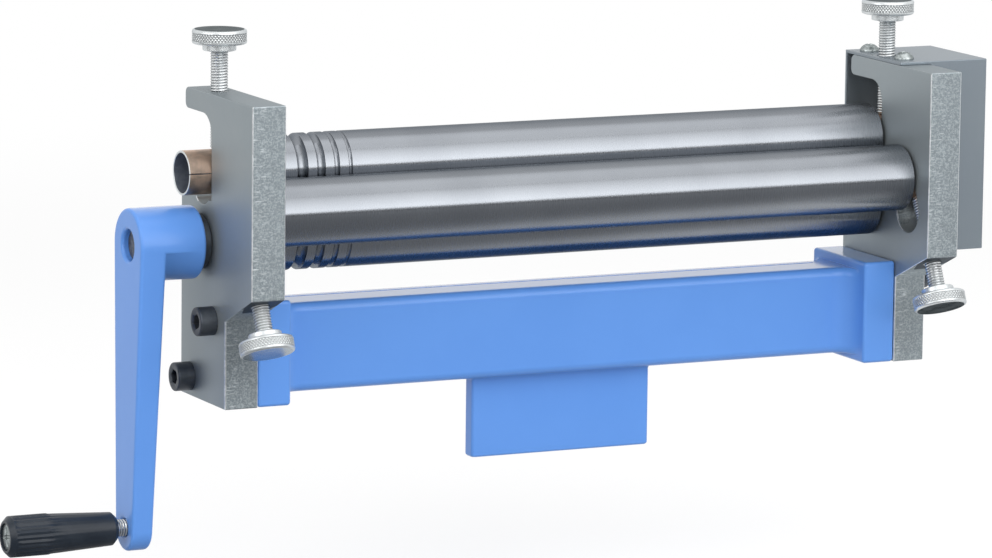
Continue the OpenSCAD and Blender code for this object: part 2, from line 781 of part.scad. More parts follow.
// Spindle: a long screw through the grip, its cross recessed head in the grip's end
module handle_spindle() {
    x_head = x_grip - grip_l + head_recess;
    slot_w = spindle_head_d / 6;
    color(steel) leaning() difference() {
        union() {
            bar_x(x_head, x_hub_face + arm_tip_t, spindle_d, y_axis, z_handle);
            bar_x(x_head - spindle_head_h, x_head, spindle_head_d, y_axis, z_handle);
        }
        for (turn = [0, 90])
            translate([x_head - spindle_head_h - cut, y_axis, z_handle]) rotate([turn, 0, 0])
                translate([0, -spindle_head_d / 4, -slot_w / 2])
                    cube([cut + spindle_head_h / 2, spindle_head_d / 2, slot_w]);
    }
}

// Grip: thick toward its outer end, tapering to the crank, and bored for the spindle
module handle_grip() {
    x0 = x_grip - grip_l;
    x_thick = x0 + grip_thick_l;
    color(black) leaning() difference() {
        union() {
            cone_x(x0, x0 + grip_chamfer, grip_d - 2 * grip_chamfer, grip_d, y_axis, z_handle);
            bar_x(x0 + grip_chamfer, x_thick, grip_d, y_axis, z_handle);
            cone_x(x_thick, x_grip - grip_chamfer, grip_d, grip_neck_d, y_axis, z_handle);
            cone_x(x_grip - grip_chamfer, x_grip, grip_neck_d, grip_neck_d - 2 * grip_chamfer,
                y_axis, z_handle);
        }
        bar_x(x0 - cut, x_grip + cut, spindle_d + 2 * grip_gap, y_axis, z_handle);
        bar_x(x0 - cut, x0 + head_recess + grip_gap, spindle_head_d + 2 * grip_gap, y_axis, z_handle);
    }
}

base_casting();
left_side_plate();
right_side_plate();
left_plate_bolts();
right_plate_bolts();
gear_cover();
gear_cover_screws();
lower_left_bush();
lower_right_bush();
left_lock_screw();
right_lock_screw();
top_left_bush();
top_right_bush();
top_left_thumb_screw();
top_right_thumb_screw();
top_roll();
top_gear();
top_gear_key();
top_gear_ring();
lower_roll();
lower_gear();
lower_gear_key();
lower_gear_ring();
crank_arm();
crank_spacer();
crank_grub_screw();
handle_spindle();
handle_grip();
bend_left_bush();
bend_right_bush();
bend_roll();
bend_left_thumb_screw();
bend_right_thumb_screw();
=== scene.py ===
import math
import bmesh
import bpy
from mathutils import Matrix, Vector


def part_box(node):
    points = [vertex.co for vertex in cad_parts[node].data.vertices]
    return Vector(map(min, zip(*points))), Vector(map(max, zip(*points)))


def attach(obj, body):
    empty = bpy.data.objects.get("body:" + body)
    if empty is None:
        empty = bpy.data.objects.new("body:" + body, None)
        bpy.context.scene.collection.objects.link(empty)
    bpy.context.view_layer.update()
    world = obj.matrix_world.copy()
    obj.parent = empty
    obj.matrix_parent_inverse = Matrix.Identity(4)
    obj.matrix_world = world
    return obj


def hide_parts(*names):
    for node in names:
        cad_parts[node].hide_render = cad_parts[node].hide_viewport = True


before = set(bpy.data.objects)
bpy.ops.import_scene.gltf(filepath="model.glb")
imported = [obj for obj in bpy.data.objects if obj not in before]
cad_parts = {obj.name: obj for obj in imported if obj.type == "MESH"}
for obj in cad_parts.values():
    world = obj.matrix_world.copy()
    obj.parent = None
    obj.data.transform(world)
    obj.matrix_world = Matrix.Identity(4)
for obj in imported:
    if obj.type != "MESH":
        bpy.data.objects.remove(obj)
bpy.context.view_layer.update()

mm = 0.001  # pieces are sized in millimetres until their mesh is made, finishes and lamps in metres

axes = {  # y and z of what runs from left to right
    "top": (4, 119),
    "lower": (4, 88),
    "bend": (-26.5, 103.5),
    "handle": (4, -40),  # before the crank leans
}
plate = {"inside": 161, "middle": 169, "outside": 177}  # x of the right plate, the left one mirrors it


def feed(tree, node, inputs):
    # links what is a socket and sets what is a plain value
    for key, value in inputs.items():
        if isinstance(value, bpy.types.NodeSocket):
            tree.links.new(value, node.inputs[key])
        else:
            node.inputs[key].default_value = value


def put(tree, kind, inputs=None, **settings):
    node = tree.nodes.new(kind)
    for key, value in settings.items():
        setattr(node, key, value)
    feed(tree, node, inputs or {})
    return node


def calc(tree, operation, a, b=0.0, c=0.0):
    return put(tree, "ShaderNodeMath", {0: a, 1: b, 2: c}, operation=operation).outputs[0]


def vectorMath(tree, operation, a, b=(0.0, 0.0, 0.0)):
    node = put(tree, "ShaderNodeVectorMath", {0: a, 1: b}, operation=operation)
    return node.outputs["Value" if operation in ("DOT_PRODUCT", "LENGTH") else "Vector"]


def component(tree, vector, index):
    return put(tree, "ShaderNodeSeparateXYZ", {0: vector}).outputs[index]


def ramp(tree, value, start, end, low=0.0, high=1.0, shape="SMOOTHSTEP"):
    inputs = {"Value": value, "From Min": start, "From Max": end, "To Min": low, "To Max": high}
    return put(tree, "ShaderNodeMapRange", inputs, interpolation_type=shape).outputs[0]


def mixColour(tree, mask, a, b):
    # a and b are sockets, or colours of three values
    a, b = ((*value, 1.0) if isinstance(value, tuple) else value for value in (a, b))
    return put(tree, "ShaderNodeMix", {0: mask, 6: a, 7: b}, data_type="RGBA").outputs[2]


def mixValue(tree, mask, a, b):
    return put(tree, "ShaderNodeMix", {0: mask, 2: a, 3: b}, data_type="FLOAT").outputs[0]


def newGroup(name, kind, output, inputs):
    # output is (name, socket type), inputs are name: (socket type, value)
    group = bpy.data.node_groups.new(name, kind)
    for label, (socket, value) in inputs.items():
        made = group.interface.new_socket(name=label, in_out="INPUT", socket_type="NodeSocket" + socket)
        if value is not None:
            made.default_value = value
    group.interface.new_socket(name=output[0], in_out="OUTPUT", socket_type="NodeSocket" + output[1])
    return group, put(group, "NodeGroupInput").outputs


def emptyTree(owner):
    owner.use_nodes = True
    owner.node_tree.nodes.clear()
    return owner.node_tree


def linkObject(name, data):
    made = bpy.data.objects.new(name, data)
    bpy.context.scene.collection.objects.link(made)
    return made


def bakeModifiers(piece):
    bpy.context.view_layer.update()
    graph = bpy.context.evaluated_depsgraph_get()
    mesh = bpy.data.meshes.new_from_object(
        piece.evaluated_get(graph), preserve_all_data_layers=True, depsgraph=graph
    )
    piece.modifiers.clear()
    old = piece.data
    piece.data = mesh
    bpy.data.meshes.remove(old)
    mesh.name = piece.name
    return piece


def smoothBelow(mesh, degrees):
    mesh.shade_smooth()
    mesh.set_sharp_from_angle(angle=math.radians(degrees))


def paintFaces(piece, finish, chosen):
    # adds a finish and gives it to the faces that a test picks
    piece.data.materials.append(finish)
    for polygon in piece.data.polygons:
        if chosen(polygon):
            polygon.material_index = len(piece.data.materials) - 1


def settle(piece, body, slotName, *nodes):
    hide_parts(*nodes)
    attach(piece, body)


# an edge mask broken into patches: on most finishes it marks worn edges, on the plates and the enamel it
# also carries a painted edge highlight
def makeEdgeWearAndHighlight():
    group, given = newGroup(
        "edgeWearAndHighlight",
        "ShaderNodeTree",
        ("Mask", "Float"),
        {"Reach": ("Float", 0.0004), "Gain": ("Float", 4.0), "Patch Scale": ("Float", 220.0)},
    )
    rounded = put(group, "ShaderNodeBevel", {"Radius": given["Reach"]}, samples=4).outputs[0]
    normal = put(group, "ShaderNodeNewGeometry").outputs["Normal"]
    turned = calc(group, "SUBTRACT", 1.0, vectorMath(group, "DOT_PRODUCT", rounded, normal))
    place = put(group, "ShaderNodeTexCoord").outputs["Object"]
    noise = {"Vector": place, "Scale": given["Patch Scale"], "Detail": 3.0}
    noise = put(group, "ShaderNodeTexNoise", noise).outputs[0]
    broken = calc(group, "MULTIPLY_ADD", noise, 1.4, -0.1)
    edge = calc(group, "MULTIPLY", turned, given["Gain"])
    mask = put(group, "ShaderNodeMath", {0: edge, 1: broken}, operation="MULTIPLY", use_clamp=True)
    put(group, "NodeGroupOutput", {"Mask": mask.outputs[0]})
    return group


def makeSurfaceGrain():
    group, given = newGroup(
        "surfaceGrain",
        "ShaderNodeTree",
        ("Height", "Float"),
        {
            "Vector": ("Vector", None),
            "Stretch": ("Vector", (1.0, 1.0, 1.0)),
            "Scale": ("Float", 800.0),
            "Detail": ("Float", 2.0),
        },
    )
    stretched = vectorMath(group, "MULTIPLY", given["Vector"], given["Stretch"])
    noise = {"Vector": stretched, "Scale": given["Scale"], "Detail": given["Detail"], "Roughness": 0.6}
    put(group, "NodeGroupOutput", {"Height": put(group, "ShaderNodeTexNoise", noise).outputs[0]})
    return group


def makeCloudPatches():
    group, given = newGroup(
        "cloudPatches",
        "ShaderNodeTree",
        ("Mask", "Float"),
        {
            "Vector": ("Vector", None),
            "Scale": ("Float", 30.0),
            "From": ("Float", 0.4),
            "To": ("Float", 0.6),
        },
    )
    noise = {"Vector": given["Vector"], "Scale": given["Scale"], "Detail": 4.0}
    noise = put(group, "ShaderNodeTexNoise", {**noise, "Roughness": 0.55, "Distortion": 0.4}).outputs[0]
    put(group, "NodeGroupOutput", {"Mask": ramp(group, noise, given["From"], given["To"])})
    return group


edgeWearAndHighlight = makeEdgeWearAndHighlight()
surfaceGrain = makeSurfaceGrain()
cloudPatches = makeCloudPatches()


def useGroup(tree, group, inputs):
    return put(tree, "ShaderNodeGroup", inputs, node_tree=group).outputs[0]


def edgeWearAndHighlightMask(tree, reach, gain, scale):
    return useGroup(tree, edgeWearAndHighlight, {"Reach": reach, "Gain": gain, "Patch Scale": scale})


def grainHeight(tree, place, stretch, scale, detail):
    inputs = {"Vector": place, "Stretch": stretch, "Scale": scale, "Detail": detail}
    return useGroup(tree, surfaceGrain, inputs)


def patchMask(tree, place, scale, low, high):
    return useGroup(tree, cloudPatches, {"Vector": place, "Scale": scale, "From": low, "To": high})


def startMaterial(name, constants):
    material = bpy.data.materials.new(name)
    tree = emptyTree(material)
    shader = put(tree, "ShaderNodeBsdfPrincipled", constants)
    put(tree, "ShaderNodeOutputMaterial", {"Surface": shader.outputs[0]})
    return material, tree, shader


usualFinish = {  # for what a finish doesn't name
    "grainStretch": (1.0, 1.0, 1.0),
    "grainDetail": 2.0,
    "grainTone": 0.3,
    "bumpDistance": 0.0001,
    "wearReach": 0.0003,
}


def finishMaterial(name, values):
    # one recipe for most of the finishes: patches of tone, fine grain, worn edges
    v = {**usualFinish, **values}
    material, tree, shader = startMaterial(name, v["constants"])
    place = grainPlace = put(tree, "ShaderNodeTexCoord").outputs["Object"]
    if "latheGrain" in v:
        path = put(tree, "ShaderNodeAttribute", attribute_name="lathePath").outputs["Fac"]
        grainPlace = put(tree, "ShaderNodeCombineXYZ", {0: path}).outputs[0]
    patch = patchMask(tree, place, v["patchScale"], 0.38, 0.62)
    grain = grainHeight(tree, grainPlace, v["grainStretch"], v["grainScale"], v["grainDetail"])
    colour = mixColour(tree, patch, v["colour"], v["patchColour"])
    shade = calc(tree, "MULTIPLY_ADD", grain, v["grainTone"], 1.0 - v["grainTone"] / 2)
    colour = vectorMath(tree, "MULTIPLY", colour, shade)
    if "rootPaintedShade" in v:
        # painted shade darkens the bottoms of threads and knurls
        carved = put(tree, "ShaderNodeAttribute", attribute_name="carved").outputs["Fac"]
        carved = calc(tree, "POWER", carved, v["rootPower"])
        shade = calc(tree, "MULTIPLY_ADD", carved, -v["rootPaintedShade"], 1.0)
        colour = vectorMath(tree, "MULTIPLY", colour, shade)
    roughness = mixValue(tree, grain, *v["roughness"])
    if "wearGain" in v:
        worn = edgeWearAndHighlightMask(tree, v["wearReach"], v["wearGain"], v["wearPatches"])
        colour = mixColour(tree, worn, colour, v["wearColour"])
        roughness = mixValue(tree, worn, roughness, v["wearRoughness"])
    relief = {"Strength": v["bump"], "Distance": v["bumpDistance"], "Height": grain}
    bump = put(tree, "ShaderNodeBump", relief).outputs[0]
    feed(tree, shader, {"Base Color": colour, "Roughness": roughness, "Normal": bump})
    if "groundAlong" in v:
        # the grinding marks run around the roll, so what it mirrors is drawn out along its axis
        axis = put(tree, "ShaderNodeCombineXYZ", dict(enumerate(v["groundAlong"]))).outputs[0]
        turned = {"vector_type": "VECTOR", "convert_from": "OBJECT", "convert_to": "WORLD"}
        axis = put(tree, "ShaderNodeVectorTransform", {0: axis}, **turned).outputs[0]
        feed(tree, shader, {"Tangent": axis})
    return material


edgeTint = (0.42, 0.44, 0.46, 1.0)  # holds back the mirror look of worked steel at shallow angles

rollFinish = {
    "constants": {"Metallic": 1.0, "Specular Tint": edgeTint, "Anisotropic": 0.95},
    "groundAlong": (1.0, 0.0, 0.0),
    "colour": (0.278, 0.295, 0.321),
    "patchColour": (0.303, 0.321, 0.348),
    "patchScale": 18.0,
    "latheGrain": True,
    "grainScale": 2600.0,
    "grainTone": 0.045,
    "roughness": (0.25, 0.30),
    "bump": 0.035,
    "wearGain": 3.0,
    "wearPatches": 160.0,
    "wearColour": (0.62, 0.63, 0.64),
    "wearRoughness": 0.22,
}
groundRollSteel = finishMaterial("groundRollSteel", rollFinish)

knobFinish = {
    "constants": {"Metallic": 0.85, "Specular Tint": (0.7, 0.72, 0.74, 1.0)},
    "colour": (0.65, 0.68, 0.69),
    "patchColour": (0.73, 0.76, 0.765),
    "patchScale": 60.0,
    # painted shade in the bottoms of the knurl
    "rootPaintedShade": 0.6,
    "rootPower": 1.5,
    "latheGrain": True,
    "grainScale": 2200.0,
    "grainTone": 0.16,
    "roughness": (0.3, 0.44),
    "bump": 0.16,
    "wearGain": 5.0,
    "wearPatches": 300.0,
    "wearColour": (0.80, 0.82, 0.82),
    "wearRoughness": 0.25,
}
knobSteel = finishMaterial("knobSteel", knobFinish)

# the shaded copy of the knobs' flat face: painted shade, darker than the top screws' faces
knobFaceShadedFinish = {
    "constants": {"Metallic": 1.0, "Specular Tint": (0.12, 0.13, 0.14, 1.0)},
    "colour": (0.15, 0.165, 0.17),
    "patchColour": (0.21, 0.225, 0.23),
    "patchScale": 160.0,
    "latheGrain": True,
    "grainScale": 3200.0,
    "roughness": (0.36, 0.5),
    "bump": 0.2,
}
knobFaceShaded = finishMaterial("knobFaceShaded", knobFaceShadedFinish)
# the lit copy for the top screws' faces: a painted sheen at shallow angles
knobFaceLitFinish = {
    **knobFaceShadedFinish,
    "constants": {"Metallic": 1.0, "Specular Tint": (0.42, 0.45, 0.46, 1.0)},
}
knobFaceLit = finishMaterial("knobFaceLit", knobFaceLitFinish)
# a lighter, glossier copy for the left bending screw's face: painted reflection of the beam
knobFacePaintedReflectionFinish = {
    **knobFaceShadedFinish,
    "constants": {"Metallic": 1.0, "Specular Tint": (0.75, 0.78, 0.8, 1.0)},
    "colour": (0.42, 0.45, 0.47),
    "patchColour": (0.48, 0.51, 0.53),
    "roughness": (0.18, 0.28),
}
knobFacePaintedReflection = finishMaterial("knobFacePaintedReflection", knobFacePaintedReflectionFinish)

brightFinish = {
    "constants": {"Metallic": 0.95, "Specular Tint": (0.16, 0.18, 0.19, 1.0)},
    "colour": (0.80, 0.83, 0.84),
    "patchColour": (0.86, 0.88, 0.89),
    "patchScale": 90.0,
    # painted shade in the bottoms of the thread
    "rootPaintedShade": 0.52,
    "rootPower": 1.4,
    "grainScale": 900.0,
    "grainTone": 0.12,
    "roughness": (0.28, 0.42),
    "bump": 0.06,
}
brightSteel = finishMaterial("brightSteel", brightFinish)

headFinish = {
    "constants": {"Metallic": 0.8, "Specular Tint": edgeTint},
    "colour": (0.27, 0.30, 0.30),
    "patchColour": (0.48, 0.52, 0.52),
    "patchScale": 420.0,
    "grainScale": 1600.0,
    "roughness": (0.25, 0.4),
    "bump": 0.2,
    "wearGain": 4.0,
    "wearPatches": 420.0,
    "wearColour": (0.80, 0.86, 0.84),
    "wearRoughness": 0.25,
}
headSteel = finishMaterial("headSteel", headFinish)

sawnFinish = {
    "constants": {"Metallic": 1.0},
    "colour": (0.12, 0.125, 0.14),
    "patchColour": (0.2, 0.205, 0.22),
    "patchScale": 420.0,
    "grainStretch": (1.0, 0.25, 1.0),
    "grainScale": 1600.0,
    "grainTone": 0.5,
    "roughness": (0.4, 0.7),
    "bump": 0.6,
    "bumpDistance": 0.0003,
}
sawnSteel = finishMaterial("sawnSteel", sawnFinish)

oxideFinish = {
    "constants": {"Metallic": 0.7},
    "colour": (0.065, 0.075, 0.09),
    "patchColour": (0.085, 0.095, 0.11),
    "patchScale": 200.0,
    "grainScale": 1400.0,
    "roughness": (0.38, 0.55),
    "bump": 0.12,
    "wearGain": 3.0,
    "wearPatches": 420.0,
    "wearColour": (0.22, 0.23, 0.25),
    "wearRoughness": 0.35,
}
blackOxide = finishMaterial("blackOxide", oxideFinish)

bronzeFinish = {
    "constants": {"Metallic": 1.0},
    "colour": (0.72, 0.52, 0.40),
    "patchColour": (0.52, 0.39, 0.31),
    "patchScale": 140.0,
    "grainStretch": (1.0, 0.1, 0.1),
    "grainScale": 2400.0,
    "grainTone": 0.18,
    "roughness": (0.32, 0.5),
    "bump": 0.12,
    "wearGain": 3.0,
    "wearPatches": 320.0,
    "wearColour": (0.78, 0.58, 0.42),
    "wearRoughness": 0.3,
}
bushBronze = finishMaterial("bushBronze", bronzeFinish)

plasticFinish = {
    "constants": {"Metallic": 0.0, "Specular IOR Level": 0.32},
    "colour": (0.013, 0.019, 0.029),
    "patchColour": (0.018, 0.025, 0.036),
    "patchScale": 80.0,
    "grainScale": 1800.0,
    "grainDetail": 3.0,
    "grainTone": 0.2,
    "roughness": (0.3, 0.4),
    "bump": 0.08,
    "bumpDistance": 0.00015,
    "wearGain": 1.2,
    "wearPatches": 300.0,
    "wearColour": (0.05, 0.054, 0.064),
    "wearRoughness": 0.5,
}
blackPlastic = finishMaterial("blackPlastic", plasticFinish)

coverFinish = {
    "constants": {"Metallic": 0.55, "Specular IOR Level": 0.5},
    "colour": (0.228, 0.266, 0.30),
    "patchColour": (0.242, 0.28, 0.31),
    "patchScale": 14.0,
    "grainScale": 2600.0,
    "grainTone": 0.06,
    "roughness": (0.36, 0.44),
    "bump": 0.05,
    "wearGain": 3.0,
    "wearReach": 0.0004,
    "wearPatches": 260.0,
    "wearColour": (0.62, 0.66, 0.69),
    "wearRoughness": 0.3,
}
coverPaint = finishMaterial("coverPaint", coverFinish)

# painted highlight: the side plates' front edge bevels get a near-white steel, as if they caught the light
paintedEdgeHighlightFinish = {
    "constants": {"Metallic": 0.8},
    "colour": (0.90, 0.92, 0.93),
    "patchColour": (0.70, 0.73, 0.75),
    "patchScale": 260.0,
    "grainScale": 1200.0,
    "roughness": (0.25, 0.4),
    "bump": 0.1,
}
paintedEdgeHighlight = finishMaterial("paintedEdgeHighlight", paintedEdgeHighlightFinish)

# painted shade: the inside of the top left bush's bore is painted dark, as its unlit hollow
paintedBoreShadeFinish = {
    "constants": {"Metallic": 0.2},
    "colour": (0.10, 0.115, 0.145),
    "patchColour": (0.13, 0.145, 0.175),
    "patchScale": 300.0,
    "grainScale": 1500.0,
    "roughness": (0.45, 0.6),
    "bump": 0.1,
}
paintedBoreShade = finishMaterial("paintedBoreShade", paintedBoreShadeFinish)

milledFinish = {
    "constants": {"Metallic": 0.72, "Specular Tint": edgeTint},
    "sideColour": (0.345, 0.385, 0.405),
    "sidePatch": (0.37, 0.405, 0.42),
    "sideClouds": (16.0, 0.35, 0.65),  # scale, low, high
    "sideGrain": ((1.0, 1.0, 0.3), 1500.0, 2.0),  # stretch, scale, detail
    "sideRoughness": (0.40, 0.50),
    "cutColour": (0.265, 0.305, 0.325),
    "cutPatch": (0.54, 0.595, 0.62),
    "cutSpeckle": (1250.0, 0.40, 0.64),
    "cutLines": ((0.3, 1.0, 1.2), 1500.0, 3.0),
    "cutRoughness": (0.38, 0.55),
    # painted shade for the faces that point down, below underBelow
    "paintedUnderShade": (0.10, 0.115, 0.13),
    "underBelow": 0.1,  # height
    "nicks": ((0.26, 1.0, 1.5), 820.0, 1.0),
    "nickRange": (0.58, 0.74),
    "nickColour": (0.86, 0.90, 0.92),
    "nickStrength": 0.5,
    "nickBand": (0.005, 0.0085),  # the nicks thin out between these depths
    "nickRest": 0.12,
    # the edge mask's lighter colour on the plates is wear and a painted edge highlight
    "edgeMask": (0.0005, 3.0, 180.0),  # reach, gain, scale
    "wearColour": (0.80, 0.84, 0.86),
    "relief": {"Strength": 0.25, "Distance": 0.00012},
}


def makeMilledSteel():
    # side faces are satin and even, the narrow front and rear faces keep the cutter's marks,
    # and what faces down low on the plates gets painted shade
    v = milledFinish
    material, tree, shader = startMaterial("milledSteel", v["constants"])
    coords = put(tree, "ShaderNodeTexCoord")
    place = coords.outputs["Object"]
    facing = put(tree, "ShaderNodeSeparateXYZ", {0: coords.outputs["Normal"]}).outputs
    across, height = component(tree, place, 0), component(tree, place, 2)
    front = calc(tree, "GREATER_THAN", calc(tree, "ABSOLUTE", facing[1]), 0.6)
    # painted shade on the downward faces low on the plates
    under = calc(tree, "LESS_THAN", facing[2], -0.6)
    under = calc(tree, "MULTIPLY", under, calc(tree, "LESS_THAN", height, v["underBelow"]))
    clouds = patchMask(tree, place, *v["sideClouds"])
    sideGrain = grainHeight(tree, place, *v["sideGrain"])
    speckle = patchMask(tree, place, *v["cutSpeckle"])
    lines = grainHeight(tree, place, *v["cutLines"])
    nicks = ramp(tree, grainHeight(tree, place, *v["nicks"]), *v["nickRange"], shape="LINEAR")
    # the nicks keep to the left part of each plate's thickness, measured from its left face
    isLeft = calc(tree, "LESS_THAN", across, 0.0)
    inside, outside = plate["inside"] * mm, plate["outside"] * mm
    shift = calc(tree, "MULTIPLY_ADD", isLeft, inside + outside, -inside)
    band = ramp(tree, calc(tree, "ADD", across, shift), *v["nickBand"], 1.0, v["nickRest"])
    nicks = calc(tree, "MULTIPLY", nicks, band)
    side = mixColour(tree, clouds, v["sideColour"], v["sidePatch"])
    side = mixColour(tree, under, side, v["paintedUnderShade"])
    cut = mixColour(tree, calc(tree, "MULTIPLY", speckle, lines), v["cutColour"], v["cutPatch"])
    cut = mixColour(tree, calc(tree, "MULTIPLY", nicks, v["nickStrength"]), cut, v["nickColour"])
    # edges are lightened: wear, and a painted highlight
    worn = edgeWearAndHighlightMask(tree, *v["edgeMask"])
    colour = mixColour(tree, worn, mixColour(tree, front, side, cut), v["wearColour"])
    roughness = mixValue(tree, sideGrain, *v["sideRoughness"])
    roughness = mixValue(tree, front, roughness, mixValue(tree, speckle, *v["cutRoughness"]))
    relief = mixValue(tree, front, calc(tree, "MULTIPLY", sideGrain, 0.25), calc(tree, "ADD", lines, nicks))
    bump = put(tree, "ShaderNodeBump", {**v["relief"], "Height": relief}).outputs[0]
    feed(tree, shader, {"Base Color": colour, "Roughness": roughness, "Normal": bump})
    return material


enamelFinish = {
    "constants": {
        "Metallic": 0.0,
        "Specular IOR Level": 0.3,
        "Coat Roughness": 0.12,
        "Coat IOR": 1.55,
    },
    "colour": (0.112, 0.295, 0.75),
    "patchColour": (0.118, 0.305, 0.765),
    "edgeHighlightColour": (0.30, 0.53, 0.92),  # painted highlight along the edges, a lighter blue
    "coat": (0.25, 1.0),  # on the sides and on top
    "coatRange": (0.8, 0.98),
    "clouds": (22.0, 0.35, 0.65),  # scale, low, high
    "peel": ((1.0, 1.0, 1.0), 260.0, 2.0),  # stretch, scale, detail
    "sag": ((0.5, 1.0, 1.0), 60.0, 1.0),
    "edgeMask": (0.0007, 1.6, 90.0),  # reach, gain, scale
    "roughness": (0.34, 0.38),
    "relief": {"Strength": 0.12, "Distance": 0.0003},
}


def makeBlueEnamel():
    v = enamelFinish
    material, tree, shader = startMaterial("blueEnamel", v["constants"])
    coords = put(tree, "ShaderNodeTexCoord")
    place = coords.outputs["Object"]
    upward = component(tree, coords.outputs["Normal"], 2)
    coat = ramp(tree, upward, *v["coatRange"], *v["coat"], shape="LINEAR")
    clouds = patchMask(tree, place, *v["clouds"])
    peel = grainHeight(tree, place, *v["peel"])
    sag = grainHeight(tree, place, *v["sag"])
    colour = mixColour(tree, clouds, v["colour"], v["patchColour"])
    # painted highlight: the edges get a lighter blue
    colour = mixColour(tree, edgeWearAndHighlightMask(tree, *v["edgeMask"]), colour, v["edgeHighlightColour"])
    height = calc(tree, "MULTIPLY_ADD", sag, 3.0, calc(tree, "MULTIPLY", peel, 0.25))
    bump = put(tree, "ShaderNodeBump", {**v["relief"], "Height": height}).outputs[0]
    roughness = mixValue(tree, peel, *v["roughness"])
    feed(tree, shader, {"Base Color": colour, "Roughness": roughness, "Coat Weight": coat, "Normal": bump})
    return material


milledSteel = makeMilledSteel()
blueEnamel = makeBlueEnamel()
print("materials made")


def makeTurning():
    # turns the object's own outline (x along the axis, y radius, z pattern weight) about X.
    # weight above 0 cuts the pattern of grooves, weight below 0 makes the section a polygon
    tree, given = newGroup(
        "turnedPiece",
        "GeometryNodeTree",
        ("Piece", "Geometry"),
        {
            "Outline": ("Geometry", None),
            "Segments": ("Int", 96),
            "Grooves Around": ("Float", 0.0),
            "Grooves Along": ("Float", 0.0),
            "Crossing Along": ("Float", 0.0),
            "Groove Depth": ("Float", 0.0),
            "Groove Rounding": ("Float", 0.0),
            "Sides": ("Int", 6),
            "Finish": ("Material", None),
        },
    )
    size = put(tree, "GeometryNodeAttributeDomainSize", {0: given["Outline"]}, component="MESH")
    rows = size.outputs["Point Count"]
    columns = calc(tree, "ADD", given["Segments"], 1.0)
    counts = {"Size X": 1.0, "Size Y": 1.0, "Vertices X": rows, "Vertices Y": columns}
    grid = put(tree, "GeometryNodeMeshGrid", counts).outputs["Mesh"]
    position = put(tree, "GeometryNodeInputPosition").outputs[0]
    along = calc(tree, "ADD", component(tree, position, 0), 0.5)
    row = calc(tree, "ROUND", calc(tree, "MULTIPLY", along, calc(tree, "SUBTRACT", rows, 1.0)))
    turn = calc(tree, "ADD", component(tree, position, 1), 0.5)
    angle = calc(tree, "MULTIPLY", turn, 2 * math.pi)

    def sampled(value, kind):
        inputs = {"Geometry": given["Outline"], "Value": value, "Index": row}
        return put(tree, "GeometryNodeSampleIndex", inputs, data_type=kind, domain="POINT").outputs[0]

    def stored(mesh, name, value):
        inputs = {"Geometry": mesh, "Name": name, "Value": value}
        kind = {"data_type": "FLOAT", "domain": "POINT"}
        return put(tree, "GeometryNodeStoreNamedAttribute", inputs, **kind).outputs[0]

    x, radius, weight = put(tree, "ShaderNodeSeparateXYZ", {0: sampled(position, "FLOAT_VECTOR")}).outputs
    path = put(tree, "GeometryNodeInputNamedAttribute", {"Name": "lathePath"}, data_type="FLOAT").outputs[0]
    path = sampled(path, "FLOAT")
    waves = []
    for lead in ("Grooves Along", "Crossing Along"):
        start = calc(tree, "MULTIPLY", turn, given["Grooves Around"])
        phase = calc(tree, "MULTIPLY_ADD", x, given[lead], start)
        waves.append(calc(tree, "MULTIPLY", calc(tree, "PINGPONG", phase, 0.5), 2.0))
    crest = calc(tree, "MINIMUM", *waves)
    swing = calc(tree, "COSINE", calc(tree, "MULTIPLY", crest, math.pi))
    softer = calc(tree, "SUBTRACT", calc(tree, "MULTIPLY_ADD", swing, -0.5, 0.5), crest)
    crest = calc(tree, "MULTIPLY_ADD", softer, given["Groove Rounding"], crest)
    carved = calc(tree, "SUBTRACT", 1.0, crest)
    carved = calc(tree, "MULTIPLY", carved, calc(tree, "MAXIMUM", weight, 0.0))
    cut = calc(tree, "MULTIPLY", carved, given["Groove Depth"])
    sector = calc(tree, "DIVIDE", 2 * math.pi, given["Sides"])
    off = calc(tree, "SUBTRACT", calc(tree, "MODULO", angle, sector), calc(tree, "MULTIPLY", sector, 0.5))
    stretch = calc(tree, "SUBTRACT", calc(tree, "DIVIDE", 1.0, calc(tree, "COSINE", off)), 1.0)
    flat = calc(tree, "MAXIMUM", calc(tree, "MULTIPLY", weight, -1.0), 0.0)
    factor = calc(tree, "MULTIPLY_ADD", stretch, flat, 1.0)
    final = calc(tree, "MULTIPLY", calc(tree, "SUBTRACT", radius, cut), factor)
    y = calc(tree, "MULTIPLY", final, calc(tree, "COSINE", angle))
    z = calc(tree, "MULTIPLY", calc(tree, "MULTIPLY", final, calc(tree, "SINE", angle)), -1.0)
    place = put(tree, "ShaderNodeCombineXYZ", {0: x, 1: y, 2: z}).outputs[0]
    isCut = calc(tree, "GREATER_THAN", given["Groove Depth"], 0.0)
    piece = stored(grid, "lathePath", path)
    piece = stored(piece, "carved", calc(tree, "MULTIPLY", carved, isCut))
    for kind, inputs in (
        ("GeometryNodeSetPosition", {"Position": place}),
        ("GeometryNodeMergeByDistance", {"Distance": 0.000002}),
        ("GeometryNodeRealizeInstances", {}),
        ("GeometryNodeSetMaterial", {"Material": given["Finish"]}),
    ):
        piece = put(tree, kind, {"Geometry": piece, **inputs}).outputs[0]
    put(tree, "NodeGroupOutput", {"Piece": piece})
    return tree


turning = makeTurning()


